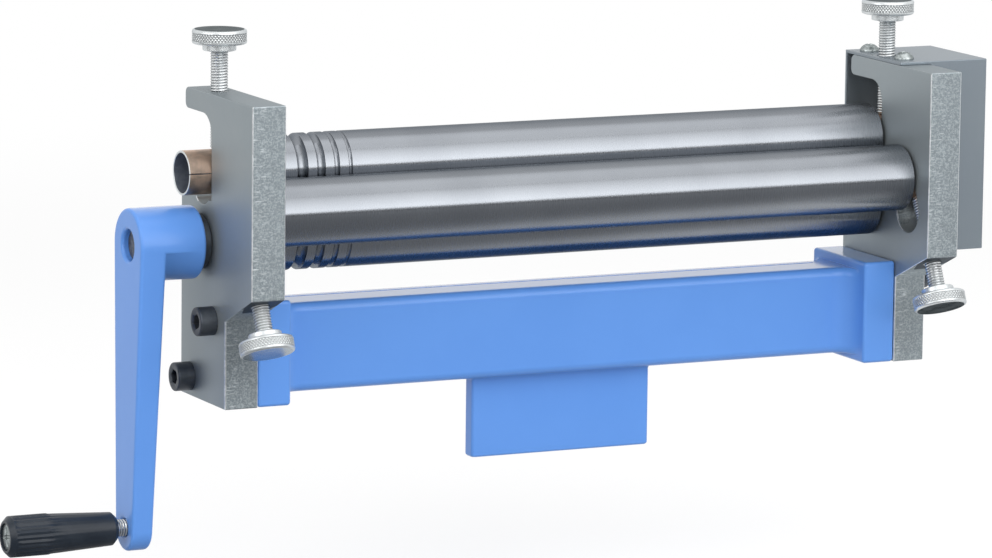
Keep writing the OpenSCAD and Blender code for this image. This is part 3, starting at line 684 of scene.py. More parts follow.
def softOutline(corners, steps=4):
    # corners are (x, radius, rounding, weight), the last two 0 where they are left out. Each
    # rounded one becomes a short arc with a support row on both sides, so that the flats
    # beside it stay flat
    rows = []
    corners = [(*corner, 0, 0)[:4] for corner in corners]
    for i, (x, r, rounding, weight) in enumerate(corners):
        here = Vector((x, r))
        if rounding <= 0 or i in (0, len(corners) - 1):
            rows.append((x, r, weight))
            continue
        before = Vector(corners[i - 1][:2]) - here
        after = Vector(corners[i + 1][:2]) - here
        half = before.angle(after) / 2
        reach = min(rounding / math.tan(half), 0.48 * before.length, 0.48 * after.length)
        start, end = here + before.normalized() * reach, here + after.normalized() * reach
        support = 0.12 * reach
        rows.append((*(start + before.normalized() * support), weight))
        for k in range(steps + 1):
            t = k / steps
            p = start * (1 - t) ** 2 + here * 2 * t * (1 - t) + end * t * t
            rows.append((*p, weight))
        rows.append((*(end + after.normalized() * support), weight))
    return rows


def addRows(rows, start, end, step):
    # closer rows between two places on a straight stretch, for a pattern
    made = []
    for a, b in zip(rows, rows[1:]):
        made.append(a)
        if a[0] >= start - 1e-6 and b[0] <= end + 1e-6 and b[0] - a[0] > step:
            count = int((b[0] - a[0]) / step)
            for k in range(1, count + 1):
                t = k / (count + 1)
                made.append((a[0] + (b[0] - a[0]) * t, a[1] + (b[1] - a[1]) * t, 1.0))
    made.append(rows[-1])
    return made


def turnedPart(
    name, rows, finish, segments=96, around=0.0, along=0.0, crossing=0.0, depth=0.0, rounding=0.0
):
    # rows are (x, radius, weight), the weight 0 where it is left out
    rows = [(*row, 0.0)[:3] for row in rows]
    mesh = bpy.data.meshes.new(name)
    edges = [(i, i + 1) for i in range(len(rows) - 1)]
    mesh.from_pydata([(x * mm, r * mm, w) for x, r, w in rows], edges, [])
    path = [0.0]
    for a, b in zip(rows, rows[1:]):
        path.append(path[-1] + math.hypot(b[0] - a[0], b[1] - a[1]) * mm)
    mesh.attributes.new("lathePath", "FLOAT", "POINT").data.foreach_set("value", path)
    piece = linkObject(name, mesh)
    modifier = piece.modifiers.new("turning", "NODES")
    modifier.node_group = turning
    values = {
        "Segments": segments,
        "Grooves Around": float(around),
        "Grooves Along": along / mm,
        "Crossing Along": crossing / mm,
        "Groove Depth": depth * mm,
        "Groove Rounding": rounding,
        "Sides": 6,
        "Finish": finish,
    }
    for item in turning.interface.items_tree:
        if item.in_out == "INPUT" and item.name in values:
            modifier[item.identifier] = values[item.name]
    bakeModifiers(piece)
    made = piece.data
    made.materials.clear()
    made.materials.append(finish)
    made.polygons.foreach_set("material_index", [0] * len(made.polygons))
    smoothBelow(made, 38)
    return piece


def axisPlace(origin, direction, turnAngle=0.0):
    # matrix that puts local +X along a direction, from an origin in millimetres
    x = Vector(direction).normalized()
    helper = Vector((0, 0, 1)) if abs(x.z) < 0.9 else Vector((0, 1, 0))
    y = helper.cross(x).normalized()
    z = x.cross(y)
    turn = Matrix((x, y, z)).transposed().to_4x4()
    return Matrix.Translation(Vector(origin) * mm) @ turn @ Matrix.Rotation(turnAngle, 4, "X")


def moveTo(piece, x, axis):
    piece.data.transform(Matrix.Translation(Vector((x, *axes[axis])) * mm))
    return piece


def joinParts(name, parts):
    # several baked meshes become one piece, each part keeping its own material
    joined = bmesh.new()
    for layer in ("lathePath", "carved"):
        joined.verts.layers.float.new(layer)
    materials = []
    for part, place in parts:
        mesh = part.data
        if place is not None:
            mesh.transform(place)
        offset = []
        for material in mesh.materials:
            if material not in materials:
                materials.append(material)
            offset.append(materials.index(material))
        for polygon in mesh.polygons:
            polygon.material_index = offset[polygon.material_index]
        joined.from_mesh(mesh)
    result = bpy.data.meshes.new(name)
    joined.to_mesh(result)
    joined.free()
    for material in materials:
        result.materials.append(material)
    for part, place in parts:
        old = part.data
        bpy.data.objects.remove(part)
        bpy.data.meshes.remove(old)
    return linkObject(name, result)


thread = {
    "pitch": 1.25,
    "depth": 0.40,
    "rowsPerTurn": 8,
    "segments": 40,
}


def threadedPart(name, rows):
    lead = 1 / thread["pitch"]
    pattern = {"around": 1.0, "along": lead, "crossing": lead, "depth": thread["depth"], "rounding": 1.0}
    return turnedPart(name, rows, brightSteel, segments=thread["segments"], **pattern)


thumbScrew = {
    "tip": 10.05,  # from the axis that the screw points at
    "threadRadius": 3.925,
    "tipChamfer": 0.7,
    "threadInKnob": 0.2,
    "longThread": 44,  # above the top roll and below the bending roll
    "shortThread": 14.25,  # behind the crank's shaft
    "collarRadius": 7.5,
    "collarLength": 3.0,
    "collarRound": 0.5,
    "knobRadius": 12.25,
    "knobThickness": 6.5,
    "knobRound": 1.16,
    "faceCentre": 3.0,
    "knurlCount": 52,
    "knurlLead": 0.62,
    "knurlDepth": 0.38,
    "knurlRow": 0.22,
    "knurlSegments": 6,
}


def makeThumbScrew(name, threadLength, direction, turnAngle, faceLightingCopy):
    v = thumbScrew
    end = v["tip"] + threadLength
    full, last = v["tip"] + v["tipChamfer"], end + v["threadInKnob"]
    rows = [
        (v["tip"], 0.0),
        (v["tip"], v["threadRadius"] - v["tipChamfer"]),
        (full, v["threadRadius"], 1.0),
    ]
    count = int((last - full) / thread["pitch"] * thread["rowsPerTurn"])
    rows += [(full + (last - full) * k / count, v["threadRadius"], 1.0) for k in range(1, count + 1)]
    shank = threadedPart(name + "Thread", rows + [(last, 0.0)])
    top = end + v["collarLength"]
    face = top + v["knobThickness"]
    corners = [
        (end, 0.0),
        (end, v["collarRadius"], v["collarRound"]),
        (top, v["collarRadius"]),
        (top, v["knobRadius"], v["knobRound"]),
        (face, v["knobRadius"], v["knobRound"]),
        (face, v["faceCentre"]),
        (face, 0.0),
    ]
    head = turnedPart(
        name + "Head",
        addRows(softOutline(corners), top + v["knobRound"], face - v["knobRound"], v["knurlRow"]),
        knobSteel,
        segments=v["knurlCount"] * v["knurlSegments"],
        around=v["knurlCount"],
        along=v["knurlLead"],
        crossing=-v["knurlLead"],
        depth=v["knurlDepth"],
    )
    flatRadius = v["knobRadius"] - v["knobRound"]

    def onFace(polygon):
        x, y, z = polygon.center / mm
        return x > face - 0.02 and math.hypot(y, z) < flatRadius

    # the flat face gets one of the lit or shaded copies
    paintFaces(head, faceLightingCopy, onFace)
    place = axisPlace((0, 0, 0), direction, turnAngle)
    return joinParts(name, [(shank, place), (head, place)])


upward, rearward = (0, 0, 1), (0, 1, 0)
slideDown = (0.0, -0.40673664, -0.91354546)  # along the bending roll's pockets
for side, sign, turnAngle, bendFaceLightingCopy in (("left", -1, 0.0, knobFacePaintedReflection), ("right", 1, 1.3, knobFaceShaded)):
    # the knob faces are lit and shaded copies of one steel: the lower and lock screws' faces carry painted
    # shade, the top ones' a painted sheen, and the left bending screw's face a painted reflection of the
    # beam
    for start, direction, face in (("top", upward, knobFaceLit), ("bend", slideDown, bendFaceLightingCopy)):
        name = f"{start}{side.title()}ThumbScrew"
        piece = makeThumbScrew(name, thumbScrew["longThread"], direction, turnAngle, face)
        moveTo(piece, sign * plate["middle"], start)
        settle(piece, f"{start}_{side}_screw", "knob_steel", f"{start}_{side}_thumb_screw")
    piece = makeThumbScrew(f"{side}LockScrew", thumbScrew["shortThread"], rearward, turnAngle, knobFaceShaded)
    moveTo(piece, sign * plate["middle"], "lower")
    settle(piece, f"{side}_lock", "knob_steel", f"{side}_lock_screw")
print("thumb screws made")

rollShape = {
    "radius": 15.25,
    "half": 160.0,
    "chamfer": 0.6,
    "grooveDiameters": (5.4, 4.2, 2.8, 2.0),
    "grooveStart": 22.5,
    "grooveLand": 4.2,
    "grooveLip": 0.15,
    "grooveSteps": 16,
    "plainRows": (-100, -60, -20, 20, 60, 100, 140),
    "segments": 160,
}
journal = 8.95
gearSeat = [(160.0, journal), (178.0, journal), (178.0, 7.5), (196.0, 7.5), (196.5, 7.0), (196.5, 0.0)]
rolls = {  # shaft ends as (x, radius)
    "topRoll": {
        "axis": "top",
        "grooved": True,
        "leftEnd": [(-178.0, 0.0), (-178.0, journal - 0.6), (-177.4, journal), (-160.0, journal)],
        "rightEnd": gearSeat,
        "body": "top_roll_shaft",
        "node": "top_roll",
    },
    "lowerRoll": {
        "axis": "lower",
        "grooved": True,
        "leftEnd": [
            (-209.6, 0.0),
            (-209.6, 6.4),
            (-209.1, 7.0),
            (-177.3, 7.0),
            (-177.3, journal),
            (-160.0, journal),
        ],
        "sawnBelow": -209.4,
        "rightEnd": gearSeat,
        "body": "crank_shaft",
        "node": "lower_roll",
    },
    "bendRoll": {
        "axis": "bend",
        "grooved": False,
        "leftEnd": [(-173.3, 0.0), (-173.3, journal - 0.5), (-172.8, journal), (-160.0, journal)],
        "rightEnd": [(160.0, journal), (172.8, journal), (173.3, journal - 0.5), (173.3, 0.0)],
        "body": "bend_roll_shaft",
        "node": "bend_roll",
    },
}


def rollRows(grooved):
    # working length of a roll from its left shoulder to its right one
    v = rollShape
    rows = [(-v["half"], v["radius"] - v["chamfer"]), (-v["half"] + v["chamfer"], v["radius"])]
    if grooved:
        edge = -v["half"] + v["grooveStart"]
        for diameter in v["grooveDiameters"]:
            r = diameter / 2
            rows.append((edge - v["grooveLip"], v["radius"]))
            for k in range(v["grooveSteps"] + 1):
                a = math.pi * k / v["grooveSteps"]
                rows.append((edge + r - r * math.cos(a), v["radius"] - r * math.sin(a)))
            rows.append((edge + diameter + v["grooveLip"], v["radius"]))
            edge += diameter + v["grooveLand"]
    rows += [(x, v["radius"]) for x in v["plainRows"]]
    return rows + [(v["half"] - v["chamfer"], v["radius"]), (v["half"], v["radius"] - v["chamfer"])]


for name, v in rolls.items():
    rows = v["leftEnd"] + rollRows(v["grooved"]) + v["rightEnd"]
    piece = moveTo(turnedPart(name, rows, groundRollSteel, segments=rollShape["segments"]), 0, v["axis"])
    if "sawnBelow" in v:
        paintFaces(piece, sawnSteel, lambda polygon: polygon.center.x < v["sawnBelow"] * mm)
    settle(piece, v["body"], "roll_steel", v["node"])
print("rolls made")

capScrew = {
    "places": ((-8.5, 54, 0.35), (17, 25, 0.9)),  # y, z and turn of the two in each plate
    "shankRadius": 4.0,
    "shankLength": 28.0,
    "shankRound": 0.5,
    "headRadius": 6.5,
    "headHeight": 8.0,
    "headRound": 0.7,
    "underRound": 0.3,
    "socketFlat": 3.0,
    "socketDepth": 4.0,
    "socketBevel": 0.9,
    "socketLip": 0.35,
    "knurlCount": 40,
    "knurlDepth": 0.22,
    "knurlRow": 0.8,
    "knurlSegments": 6,
}


def makeCapScrew(name):
    # local origin under the head, head toward +X
    v = capScrew
    h, r, flat = v["headHeight"], v["headRadius"], v["socketFlat"]
    corners = [
        (-v["shankLength"], 0.0),
        (-v["shankLength"], v["shankRadius"], v["shankRound"]),
        (0.0, v["shankRadius"]),
        (0.0, r, v["underRound"]),
        (h, r, v["headRound"]),
        (h, flat + v["socketBevel"]),
        (h - v["socketLip"], flat + 0.05, 0, -1),
        (h - v["socketDepth"], flat, 0, -1),
        (h - v["socketDepth"] - v["socketBevel"], 0.0, 0, -1),
    ]
    return turnedPart(
        name,
        addRows(softOutline(corners), 0.5, h - v["headRound"] - 0.1, v["knurlRow"]),
        blackOxide,
        segments=v["knurlCount"] * v["knurlSegments"],
        around=v["knurlCount"],
        depth=v["knurlDepth"],
    )


for side, sign in (("left", -1), ("right", 1)):
    parts = []
    for i, (y, z, turnAngle) in enumerate(capScrew["places"]):
        place = axisPlace((sign * plate["outside"], y, z), (sign, 0, 0), turnAngle)
        parts.append((makeCapScrew(f"{side}CapScrew{i}"), place))
    settle(joinParts(f"{side}PlateBolts", parts), "frame", "black_steel", f"{side}_plate_bolts")

crossHead = {
    "rings": 34,
    "segments": 120,
    "foot": 0.12,
    "wallWidth": 0.22,  # of the recess along its arms
    "endWidth": 0.5,  # and at their ends
    "rootReach": 1.3,  # the arms widen this near to the middle
    "rootWiden": 0.55,
    "endLift": 0.55,  # the recess is this much shallower at its ends
}


def makeCrossHead(name, v, finish):
    # a domed head with a cross recess, its underside at x = 0 and its top toward +X
    c = crossHead
    segments = c["segments"]
    rise = v["height"] - v["rim"]
    domeRadius = (v["radius"] ** 2 + rise**2) / (2 * rise)

    def topHeight(r, a):
        h = v["height"] - domeRadius + math.sqrt(domeRadius**2 - r * r)
        beside, along = sorted((abs(math.cos(a)) * r, abs(math.sin(a)) * r))
        widened = v["armWidth"] / 2 + c["rootWiden"] * max(0.0, c["rootReach"] - along)
        slot = (widened - beside) / c["wallWidth"] + 0.5
        end = (v["armLength"] - along) / c["endWidth"]
        sunk = max(0.0, min(1.0, slot)) * max(0.0, min(1.0, end))
        return h - sunk * v["recess"] * (1.0 - c["endLift"] * along / v["armLength"])

    angles = [2 * math.pi * k / segments for k in range(segments)]
    verts, faces = [], []
    for i in range(1, c["rings"] + 1):
        r = v["radius"] * i / c["rings"]
        verts += [(topHeight(r, a), r * math.cos(a), r * math.sin(a)) for a in angles]
    for h, r in ((v["rim"] * 0.5, v["radius"]), (c["foot"], v["radius"]), (0.0, v["radius"] - c["foot"])):
        verts += [(h, r * math.cos(a), r * math.sin(a)) for a in angles]
    verts += [(topHeight(0.0, 0.0), 0, 0), (0.0, 0, 0)]
    centre, under = len(verts) - 2, len(verts) - 1
    last = centre - segments
    around = [(k, (k + 1) % segments) for k in range(segments)]
    for a in range(0, last, segments):
        b = a + segments
        faces += [(a + k, b + k, b + n, a + n) for k, n in around]
    for k, n in around:
        faces += [(centre, k, n), (under, last + n, last + k)]
    mesh = bpy.data.meshes.new(name)
    mesh.from_pydata([(x * mm, y * mm, z * mm) for x, y, z in verts], [], faces)
    mesh.validate()
    work = bmesh.new()
    work.from_mesh(mesh)
    bmesh.ops.recalc_face_normals(work, faces=work.faces)
    work.to_mesh(mesh)
    work.free()
    mesh.materials.append(finish)
    for layer in ("lathePath", "carved"):
        mesh.attributes.new(layer, "FLOAT", "POINT")
    smoothBelow(mesh, 40)
    return linkObject(name, mesh)


panScrew = {
    "places": (-12.5, 20.5),  # y of the two in the cover's tab
    "underHead": 156.5,
    "radius": 4.5,
    "height": 3.6,
    "rim": 0.9,
    "armLength": 2.6,
    "armWidth": 0.95,
    "recess": 1.7,
    "shank": [(-8.0, 0.0), (-8.0, 1.9), (-7.4, 2.5), (0.3, 2.5), (0.3, 0.0)],  # (x, radius)
}
parts = []
for i, y in enumerate(panScrew["places"]):
    name = f"panScrew{i}"
    head = makeCrossHead(name + "Head", panScrew, headSteel)
    shank = turnedPart(name + "Shank", panScrew["shank"], brightSteel, segments=thread["segments"])
    place = axisPlace((plate["middle"], y, panScrew["underHead"]), upward, 0.4 + i)
    parts.append((joinParts(name, [(head, None), (shank, None)]), place))
settle(joinParts("gearCoverScrews", parts), "frame", "bright_steel", "gear_cover_screws")

grubCorners = [
    (7.0, 0.0),
    (7.0, 2.6),
    (7.4, 3.0),
    (15.5, 3.0, 0.3),
    (15.5, 1.7),
    (15.4, 1.5, 0, -1),
    (11.8, 1.5, 0, -1),
    (11.3, 0.0, 0, -1),
]
grubScrew = turnedPart("crankGrubScrew", softOutline(grubCorners), blackOxide, segments=48)
grubLow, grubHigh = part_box("crank_grub_screw")
grubX = (grubLow.x + grubHigh.x) / 2 / mm
grubScrew.data.transform(axisPlace((grubX, *axes["lower"]), rearward))
settle(grubScrew, "crank_shaft", "black_steel", "crank_grub_screw")

spacerCorners = [
    (-181.3, 7.0),
    (-181.3, 12.5, 0.4),
    (-177.3, 12.5, 0.4),
    (-177.3, 7.0),
    (-181.3, 7.0),
]
spacer = moveTo(turnedPart("crankSpacer", softOutline(spacerCorners), blackOxide), 0, "lower")
settle(spacer, "crank_shaft", "black_steel", "crank_spacer")

handle = {
    "lean": 1.7,  # degrees, as the crank stands at rest
    "outer": -269.0,
    "inner": -217.0,
    "thickEnd": -249.0,
    "radius": 9.25,
    "neckRadius": 7.5,
    "chamfer": 2.0,
    "bore": 3.98,
    "recessRadius": 6.08,
    "recess": 4.08,
    "flutes": 26,
    "fluteDepth": 0.42,
    "fluteStart": -266.6,
    "fluteFade": -251.0,
    "fluteEnd": -243.5,
    "fluteRow": 2.0,
    "fluteSegments": 8,
}


def makeGrip():
    v = handle
    outer, inner, r = v["outer"], v["inner"], v["radius"]
    corners = [
        (outer + v["recess"], v["bore"]),
        (outer + v["recess"], v["recessRadius"]),
        (outer, v["recessRadius"], 0.25),
        (outer, r - v["chamfer"], 0.5),
        (outer + v["chamfer"], r, 0.6),
        (v["fluteStart"], r),
        (v["fluteStart"] + 0.5, r, 0, 1),
        (v["fluteFade"], r, 0, 1),
        (v["thickEnd"], r - 0.05, 0, 0.8),
        (v["thickEnd"] + 0.6, r - 0.3, 0, 0.6),
        (v["fluteEnd"], r - 0.5),
        (inner - v["chamfer"], v["neckRadius"], 0.6),
        (inner, v["neckRadius"] - v["chamfer"], 0.3),
        (inner, v["bore"]),
        (outer + v["recess"], v["bore"]),
    ]
    rows = addRows(softOutline(corners), v["fluteStart"] + 0.5, v["fluteFade"], v["fluteRow"])
    flutes = {"segments": v["flutes"] * v["fluteSegments"], "around": v["flutes"], "depth": v["fluteDepth"]}
    return turnedPart("handleGrip", rows, blackPlastic, **flutes)


crankAxis = Matrix.Translation(Vector((0, *axes["lower"])) * mm)
leanTurn = crankAxis @ Matrix.Rotation(math.radians(handle["lean"]), 4, "X") @ crankAxis.inverted()
grip = moveTo(makeGrip(), 0, "handle")
grip.data.transform(leanTurn)
settle(grip, "grip", "black_plastic", "handle_grip")

spindleSize = {
    "radius": 6.0,  # of the head, and so on down to its recess
    "height": 3.5,
    "rim": 2.9,
    "armLength": 4.4,
    "armWidth": 1.3,
    "recess": 2.0,
    "headTurn": 0.25,
    "underHead": -265.0,
    "rodRadius": 3.9,
    "threadStart": -219.0,
    "threadLength": 16.4,
    "threadRows": 80,
}


def makeSpindle():
    v = spindleSize
    head = makeCrossHead("spindleHead", v, headSteel)
    head.data.transform(axisPlace((v["underHead"], 0, 0), (-1, 0, 0), v["headTurn"]))
    r, start, length, count = v["rodRadius"], v["threadStart"], v["threadLength"], v["threadRows"]
    rows = [(v["underHead"], 0.0), (v["underHead"], r), (start, r)]
    rows += [(start + length * k / count, r, 1.0) for k in range(1, count + 1)]
    rod = threadedPart("spindleRod", rows + [(start + length, 0.0)])
    return joinParts("handleSpindle", [(head, None), (rod, None)])


spindle = moveTo(makeSpindle(), 0, "handle")
spindle.data.transform(leanTurn)
settle(spindle, "crank_shaft", "bright_steel", "handle_spindle")
print("fasteners and handle made")

baseCasting = {
    "beamY": (-9.5, 17.5),
    "beamZ": (19.0, 59.5),
    "beamRound": 4.0,
    "beamSteps": 7,
    "beamHalf": 145.5,
    "filletStart": 135.0,
    "filletRadius": 10.0,
    "filletSteps": 12,
    "grooveY": (8.5, 10.0),
    "grooveDepth": 0.6,
    "grooveWall": 0.1,
    "grooveRows": (0.3, 12.0),  # how far it starts from the fillet, and a second row
    "flangeX": (145.0, 161.0),
    "flangeY": (-23.0, 28.0),
    "flangeZ": (16.0, 63.5),
    "flangeRound": 1.6,
    "tongueX": (-45.0, 45.0),
    "tongueY": (0.0, 8.0),
    "tongueZ": (-19.0, 19.0),
    "tongueRound": 1.2,
    "tongueCorner": 1.4,
    "tongueSteps": 4,
    "tongueFillet": 2.2,  # under the beam
    "tongueRows": (6, 0.4),  # from its foot, and from the fillet
    "tongueSunk": 1,  # into the beam
}


def roundedLoop(a, b, r, steps, cut=()):
    # a closed outline in two sizes, each (low, high), with points of a cut put in its high side
    loop = []
    corners = ((a[1] - r, b[1] - r), (a[0] + r, b[1] - r), (a[0] + r, b[0] + r), (a[1] - r, b[0] + r))
    for quarter, (ca, cb) in enumerate(corners):
        for k in range(steps + 1):
            turn = math.radians(90 * (quarter + k / steps))
            loop.append((ca + r * math.cos(turn), cb + r * math.sin(turn)))
        if quarter == 0:
            loop += cut
    return loop


def loftLoops(work, loops):
    rings = [[work.verts.new([c * mm for c in point]) for point in loop] for loop in loops]
    for a, b in zip(rings, rings[1:]):
        for k in range(len(a)):
            n = (k + 1) % len(a)
            work.faces.new((a[k], a[n], b[n], b[k]))
    work.faces.new(rings[0])
    work.faces.new(rings[-1])


def beamLoops():
    # the beam, flared by a fillet into each flange, with a groove along its top
    v = baseCasting
    start, r, deep = v["filletStart"], v["filletRadius"], v["grooveDepth"]
    stations = [(v["beamHalf"], r, 0.0)]
    for k in range(v["filletSteps"], -1, -1):
        turn = math.radians(90 * k / v["filletSteps"])
        stations.append((start + r * math.sin(turn), r * (1 - math.cos(turn)), 0.0))
    stations += [(start - back, 0.0, deep) for back in v["grooveRows"]]
    top, (near, far), wall = v["beamZ"][1], v["grooveY"], v["grooveWall"]
    for x, wide, depth in [(-x, wide, depth) for x, wide, depth in stations] + stations[::-1]:
        cut = [(far, top), (far - wall, top - depth), (near + wall, top - depth), (near, top)]
        sides = (v["beamY"][0] - wide, v["beamY"][1] + wide)
        yield [(x, y, z) for y, z in roundedLoop(sides, v["beamZ"], v["beamRound"], v["beamSteps"], cut)]


def tongueLoops():
    v = baseCasting
    (low, high), r, fillet = v["tongueZ"], v["tongueRound"], v["tongueFillet"]
    quarter = [math.radians(t) for t in (0, 30, 60, 90)]
    rows = [(low + r * (1 - math.sin(t)), r * (1 - math.cos(t))) for t in reversed(quarter)]
    rows += [(low + v["tongueRows"][0], 0.0), (high - fillet - v["tongueRows"][1], 0.0)]
    rows += [(high - fillet + fillet * math.sin(t), -fillet * (1 - math.cos(t))) for t in quarter]
    for z, inset in rows + [(high + v["tongueSunk"], -fillet)]:
        a, b = ((start + inset, end - inset) for start, end in (v["tongueX"], v["tongueY"]))
        yield [(x, y, z) for x, y in roundedLoop(a, b, v["tongueCorner"], v["tongueSteps"])]


def makeBaseCasting():
    v = baseCasting
    work = bmesh.new()
    loftLoops(work, beamLoops())
    loftLoops(work, tongueLoops())
    for side in (-1, 1):
        made = bmesh.ops.create_cube(work, size=1.0)["verts"]
        spans = (sorted(side * x for x in v["flangeX"]), v["flangeY"], v["flangeZ"])
        for vert in made:
            for axis, (start, end) in enumerate(spans):
                vert.co[axis] = (start + (end - start) * (vert.co[axis] + 0.5)) * mm
        edges = list({edge for vert in made for edge in vert.link_edges})
        rounding = {"offset": v["flangeRound"] * mm, "segments": 4, "profile": 0.5, "affect": "EDGES"}
        bmesh.ops.bevel(work, geom=edges, **rounding)
    bmesh.ops.recalc_face_normals(work, faces=work.faces)
    mesh = bpy.data.meshes.new("baseCasting")
    work.to_mesh(mesh)
    work.free()
    mesh.materials.append(blueEnamel)
    smoothBelow(mesh, 40)
    piece = linkObject("baseCasting", mesh)
    normals = piece.modifiers.new("evenNormals", "WEIGHTED_NORMAL")
    normals.weight = 80
    normals.keep_sharp = True
    return bakeModifiers(piece)


settle(makeBaseCasting(), "frame", "blue_enamel", "base_casting")


def spread(face, edge):
    # how far a face reaches from the line of one of its edges
    start = edge.verts[0].co
    along = (edge.verts[1].co - start).normalized()
    return max(((v.co - start) - along * (v.co - start).dot(along)).length for v in face.verts)


def softenedCopy(node, name, finish, v):
    # a merged copy of a CAD node with its outer edges rounded
    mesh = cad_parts[node].data.copy()
    work = bmesh.new()
    work.from_mesh(mesh)
    bmesh.ops.remove_doubles(work, verts=work.verts, dist=0.002 * mm)
    flat = {"angle_limit": math.radians(0.6), "use_dissolve_boundaries": False}
    bmesh.ops.dissolve_limit(work, verts=work.verts, edges=work.edges, **flat)
    width = v["width"] * mm
    weights = work.edges.layers.float.new("bevel_weight_edge")
    for edge in work.edges:
        if len(edge.link_faces) != 2 or not edge.is_convex:
            continue
        if edge.calc_face_angle() < math.radians(v["angle"]):
            continue
        if min(spread(face, edge) for face in edge.link_faces) >= 2.2 * width:
            edge[weights] = 1.0
    work.to_mesh(mesh)
    work.free()
    mesh.materials.clear()
    mesh.materials.append(finish)
    piece = linkObject(name, mesh)
    bevel = piece.modifiers.new("softEdges", "BEVEL")
    bevel.width = width
    bevel.segments = v["segments"]
    bevel.limit_method = "WEIGHT"
    bevel.use_clamp_overlap = False
    mesh.shade_smooth()
    normals = piece.modifiers.new("evenNormals", "WEIGHTED_NORMAL")
    normals.mode = "FACE_AREA"
    normals.weight = 80
    return bakeModifiers(piece)


bushBore = 9.3  # faces of the top left bush nearer to its axis are in its bore


# picks the bevels of the plates' front upright edges, which carry the painted edge highlight
def onFrontEdge(polygon):
    n = polygon.normal
    return n.y < -0.15 and abs(n.x) > 0.15 and abs(n.z) < 0.5


def onRim(polygon):
    return polygon.normal.x < -0.3


# the bore's faces get the painted shade
def inBore(polygon):
    y, z = (c / mm - middle for c, middle in zip(polygon.center.yz, axes["top"]))
    return math.hypot(y, z) < bushBore and not onRim(polygon)


plateEdges = {"width": 0.6, "segments": 2, "angle": 28, "finishes": {paintedEdgeHighlight: onFrontEdge}}
crankEdges = {"width": 1.6, "segments": 4, "angle": 35}
coverEdges = {"width": 0.45, "segments": 2, "angle": 35}
bushEdges = {"width": 0.2, "segments": 2, "angle": 35, "finishes": {knobSteel: onRim, paintedBoreShade: inBore}}
for node, name, finish, body, slotName, edges in (
    ("left_side_plate", "leftSidePlate", milledSteel, "frame", "milled_steel", plateEdges),
    ("right_side_plate", "rightSidePlate", milledSteel, "frame", "milled_steel", plateEdges),
    ("crank_arm", "crankArm", blueEnamel, "crank_shaft", "blue_enamel", crankEdges),
    ("gear_cover", "gearCover", coverPaint, "frame", "cover_paint", coverEdges),
    ("top_left_bush", "topLeftBush", bushBronze, "top_carrier", "bronze", bushEdges),
):
    piece = softenedCopy(node, name, finish, edges)
    for secondFinish, chosen in edges.get("finishes", {}).items():
        paintFaces(piece, secondFinish, chosen)
    settle(piece, body, slotName, node)
print("castings, plates and cover made")

carried = {  # CAD nodes that keep their shape
    bushBronze: (
        "lower_left_bush",
        "lower_right_bush",
        "top_right_bush",
        "bend_left_bush",
        "bend_right_bush",
    ),
    brightSteel: ("top_gear", "lower_gear", "top_gear_key", "lower_gear_key"),
    blackOxide: ("top_gear_ring", "lower_gear_ring"),
}
for finish, nodes in carried.items():
    for node in nodes:
        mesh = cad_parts[node].data
        mesh.materials.clear()
        mesh.materials.append(finish)

studio = {
    "floorHeight": -80.0,
    "floorSize": 16.0,
    "floorColour": (0.44, 0.44, 0.44),
    "mirroredColour": (0.235, 0.24, 0.25),  # what metal sees of the floor in front of the object
    "floorGlow": 0.59,
    "glowAlong": (0.431, 0.902, 0.0),  # the camera's way over the floor
    "glowFrom": -0.14,  # metres along it, where the floor starts to glow
    "glowTo": 0.03,
    "backdropFrom": 0.75,  # distance in metres at which the floor turns into the backdrop
    "backdropTo": 1.6,
    "worldLight": 0.60,
}


def backgroundShown(tree, behind):
    # where rays see the white background: the camera's anywhere, mirrored and refracted ones
    # on the side that the camera looks at
    path = put(tree, "ShaderNodeLightPath").outputs
    bounced = calc(tree, "MAXIMUM", path["Is Glossy Ray"], path["Is Transmission Ray"])
    return calc(tree, "MAXIMUM", path["Is Camera Ray"], calc(tree, "MULTIPLY", bounced, behind))


def behindObject(tree, vector, start, end):
    return ramp(tree, vectorMath(tree, "DOT_PRODUCT", vector, studio["glowAlong"]), start, end)


def makeFloor():
    half = studio["floorSize"] / 2
    z = studio["floorHeight"] * mm
    corners = [(x * half, y * half, z) for x, y in ((-1, -1), (1, -1), (1, 1), (-1, 1))]
    mesh = bpy.data.meshes.new("floor")
    mesh.from_pydata(corners, [], [(0, 1, 2, 3)])
    material = bpy.data.materials.new("paleFloor")
    tree = emptyTree(material)
    place = put(tree, "ShaderNodeTexCoord").outputs["Object"]
    behind = behindObject(tree, place, studio["glowFrom"], studio["glowTo"])
    shown = backgroundShown(tree, behind)
    away = ramp(tree, vectorMath(tree, "LENGTH", place), studio["backdropFrom"], studio["backdropTo"])
    inFront = calc(tree, "SUBTRACT", 1.0, behind)
    # painted shade in reflections: glossy rays see the floor in front of the object darker than it is
    mirrored = put(tree, "ShaderNodeLightPath").outputs["Is Glossy Ray"]
    mirrored = calc(tree, "MULTIPLY", mirrored, inFront)
    colour = mixColour(tree, mirrored, studio["floorColour"], studio["mirroredColour"])
    matt = put(tree, "ShaderNodeBsdfDiffuse", {"Color": colour}).outputs[0]
    glow = calc(tree, "MULTIPLY", calc(tree, "MULTIPLY", shown, behind), studio["floorGlow"])
    glow = put(tree, "ShaderNodeEmission", {"Strength": glow}).outputs[0]
    near = put(tree, "ShaderNodeAddShader", {0: matt, 1: glow}).outputs[0]
    white = put(tree, "ShaderNodeEmission", {"Strength": 1.0}).outputs[0]
    both = {0: calc(tree, "MULTIPLY", shown, away), 1: near, 2: white}
    put(tree, "ShaderNodeOutputMaterial", {"Surface": put(tree, "ShaderNodeMixShader", both).outputs[0]})
    mesh.materials.append(material)
    linkObject("floor", mesh)


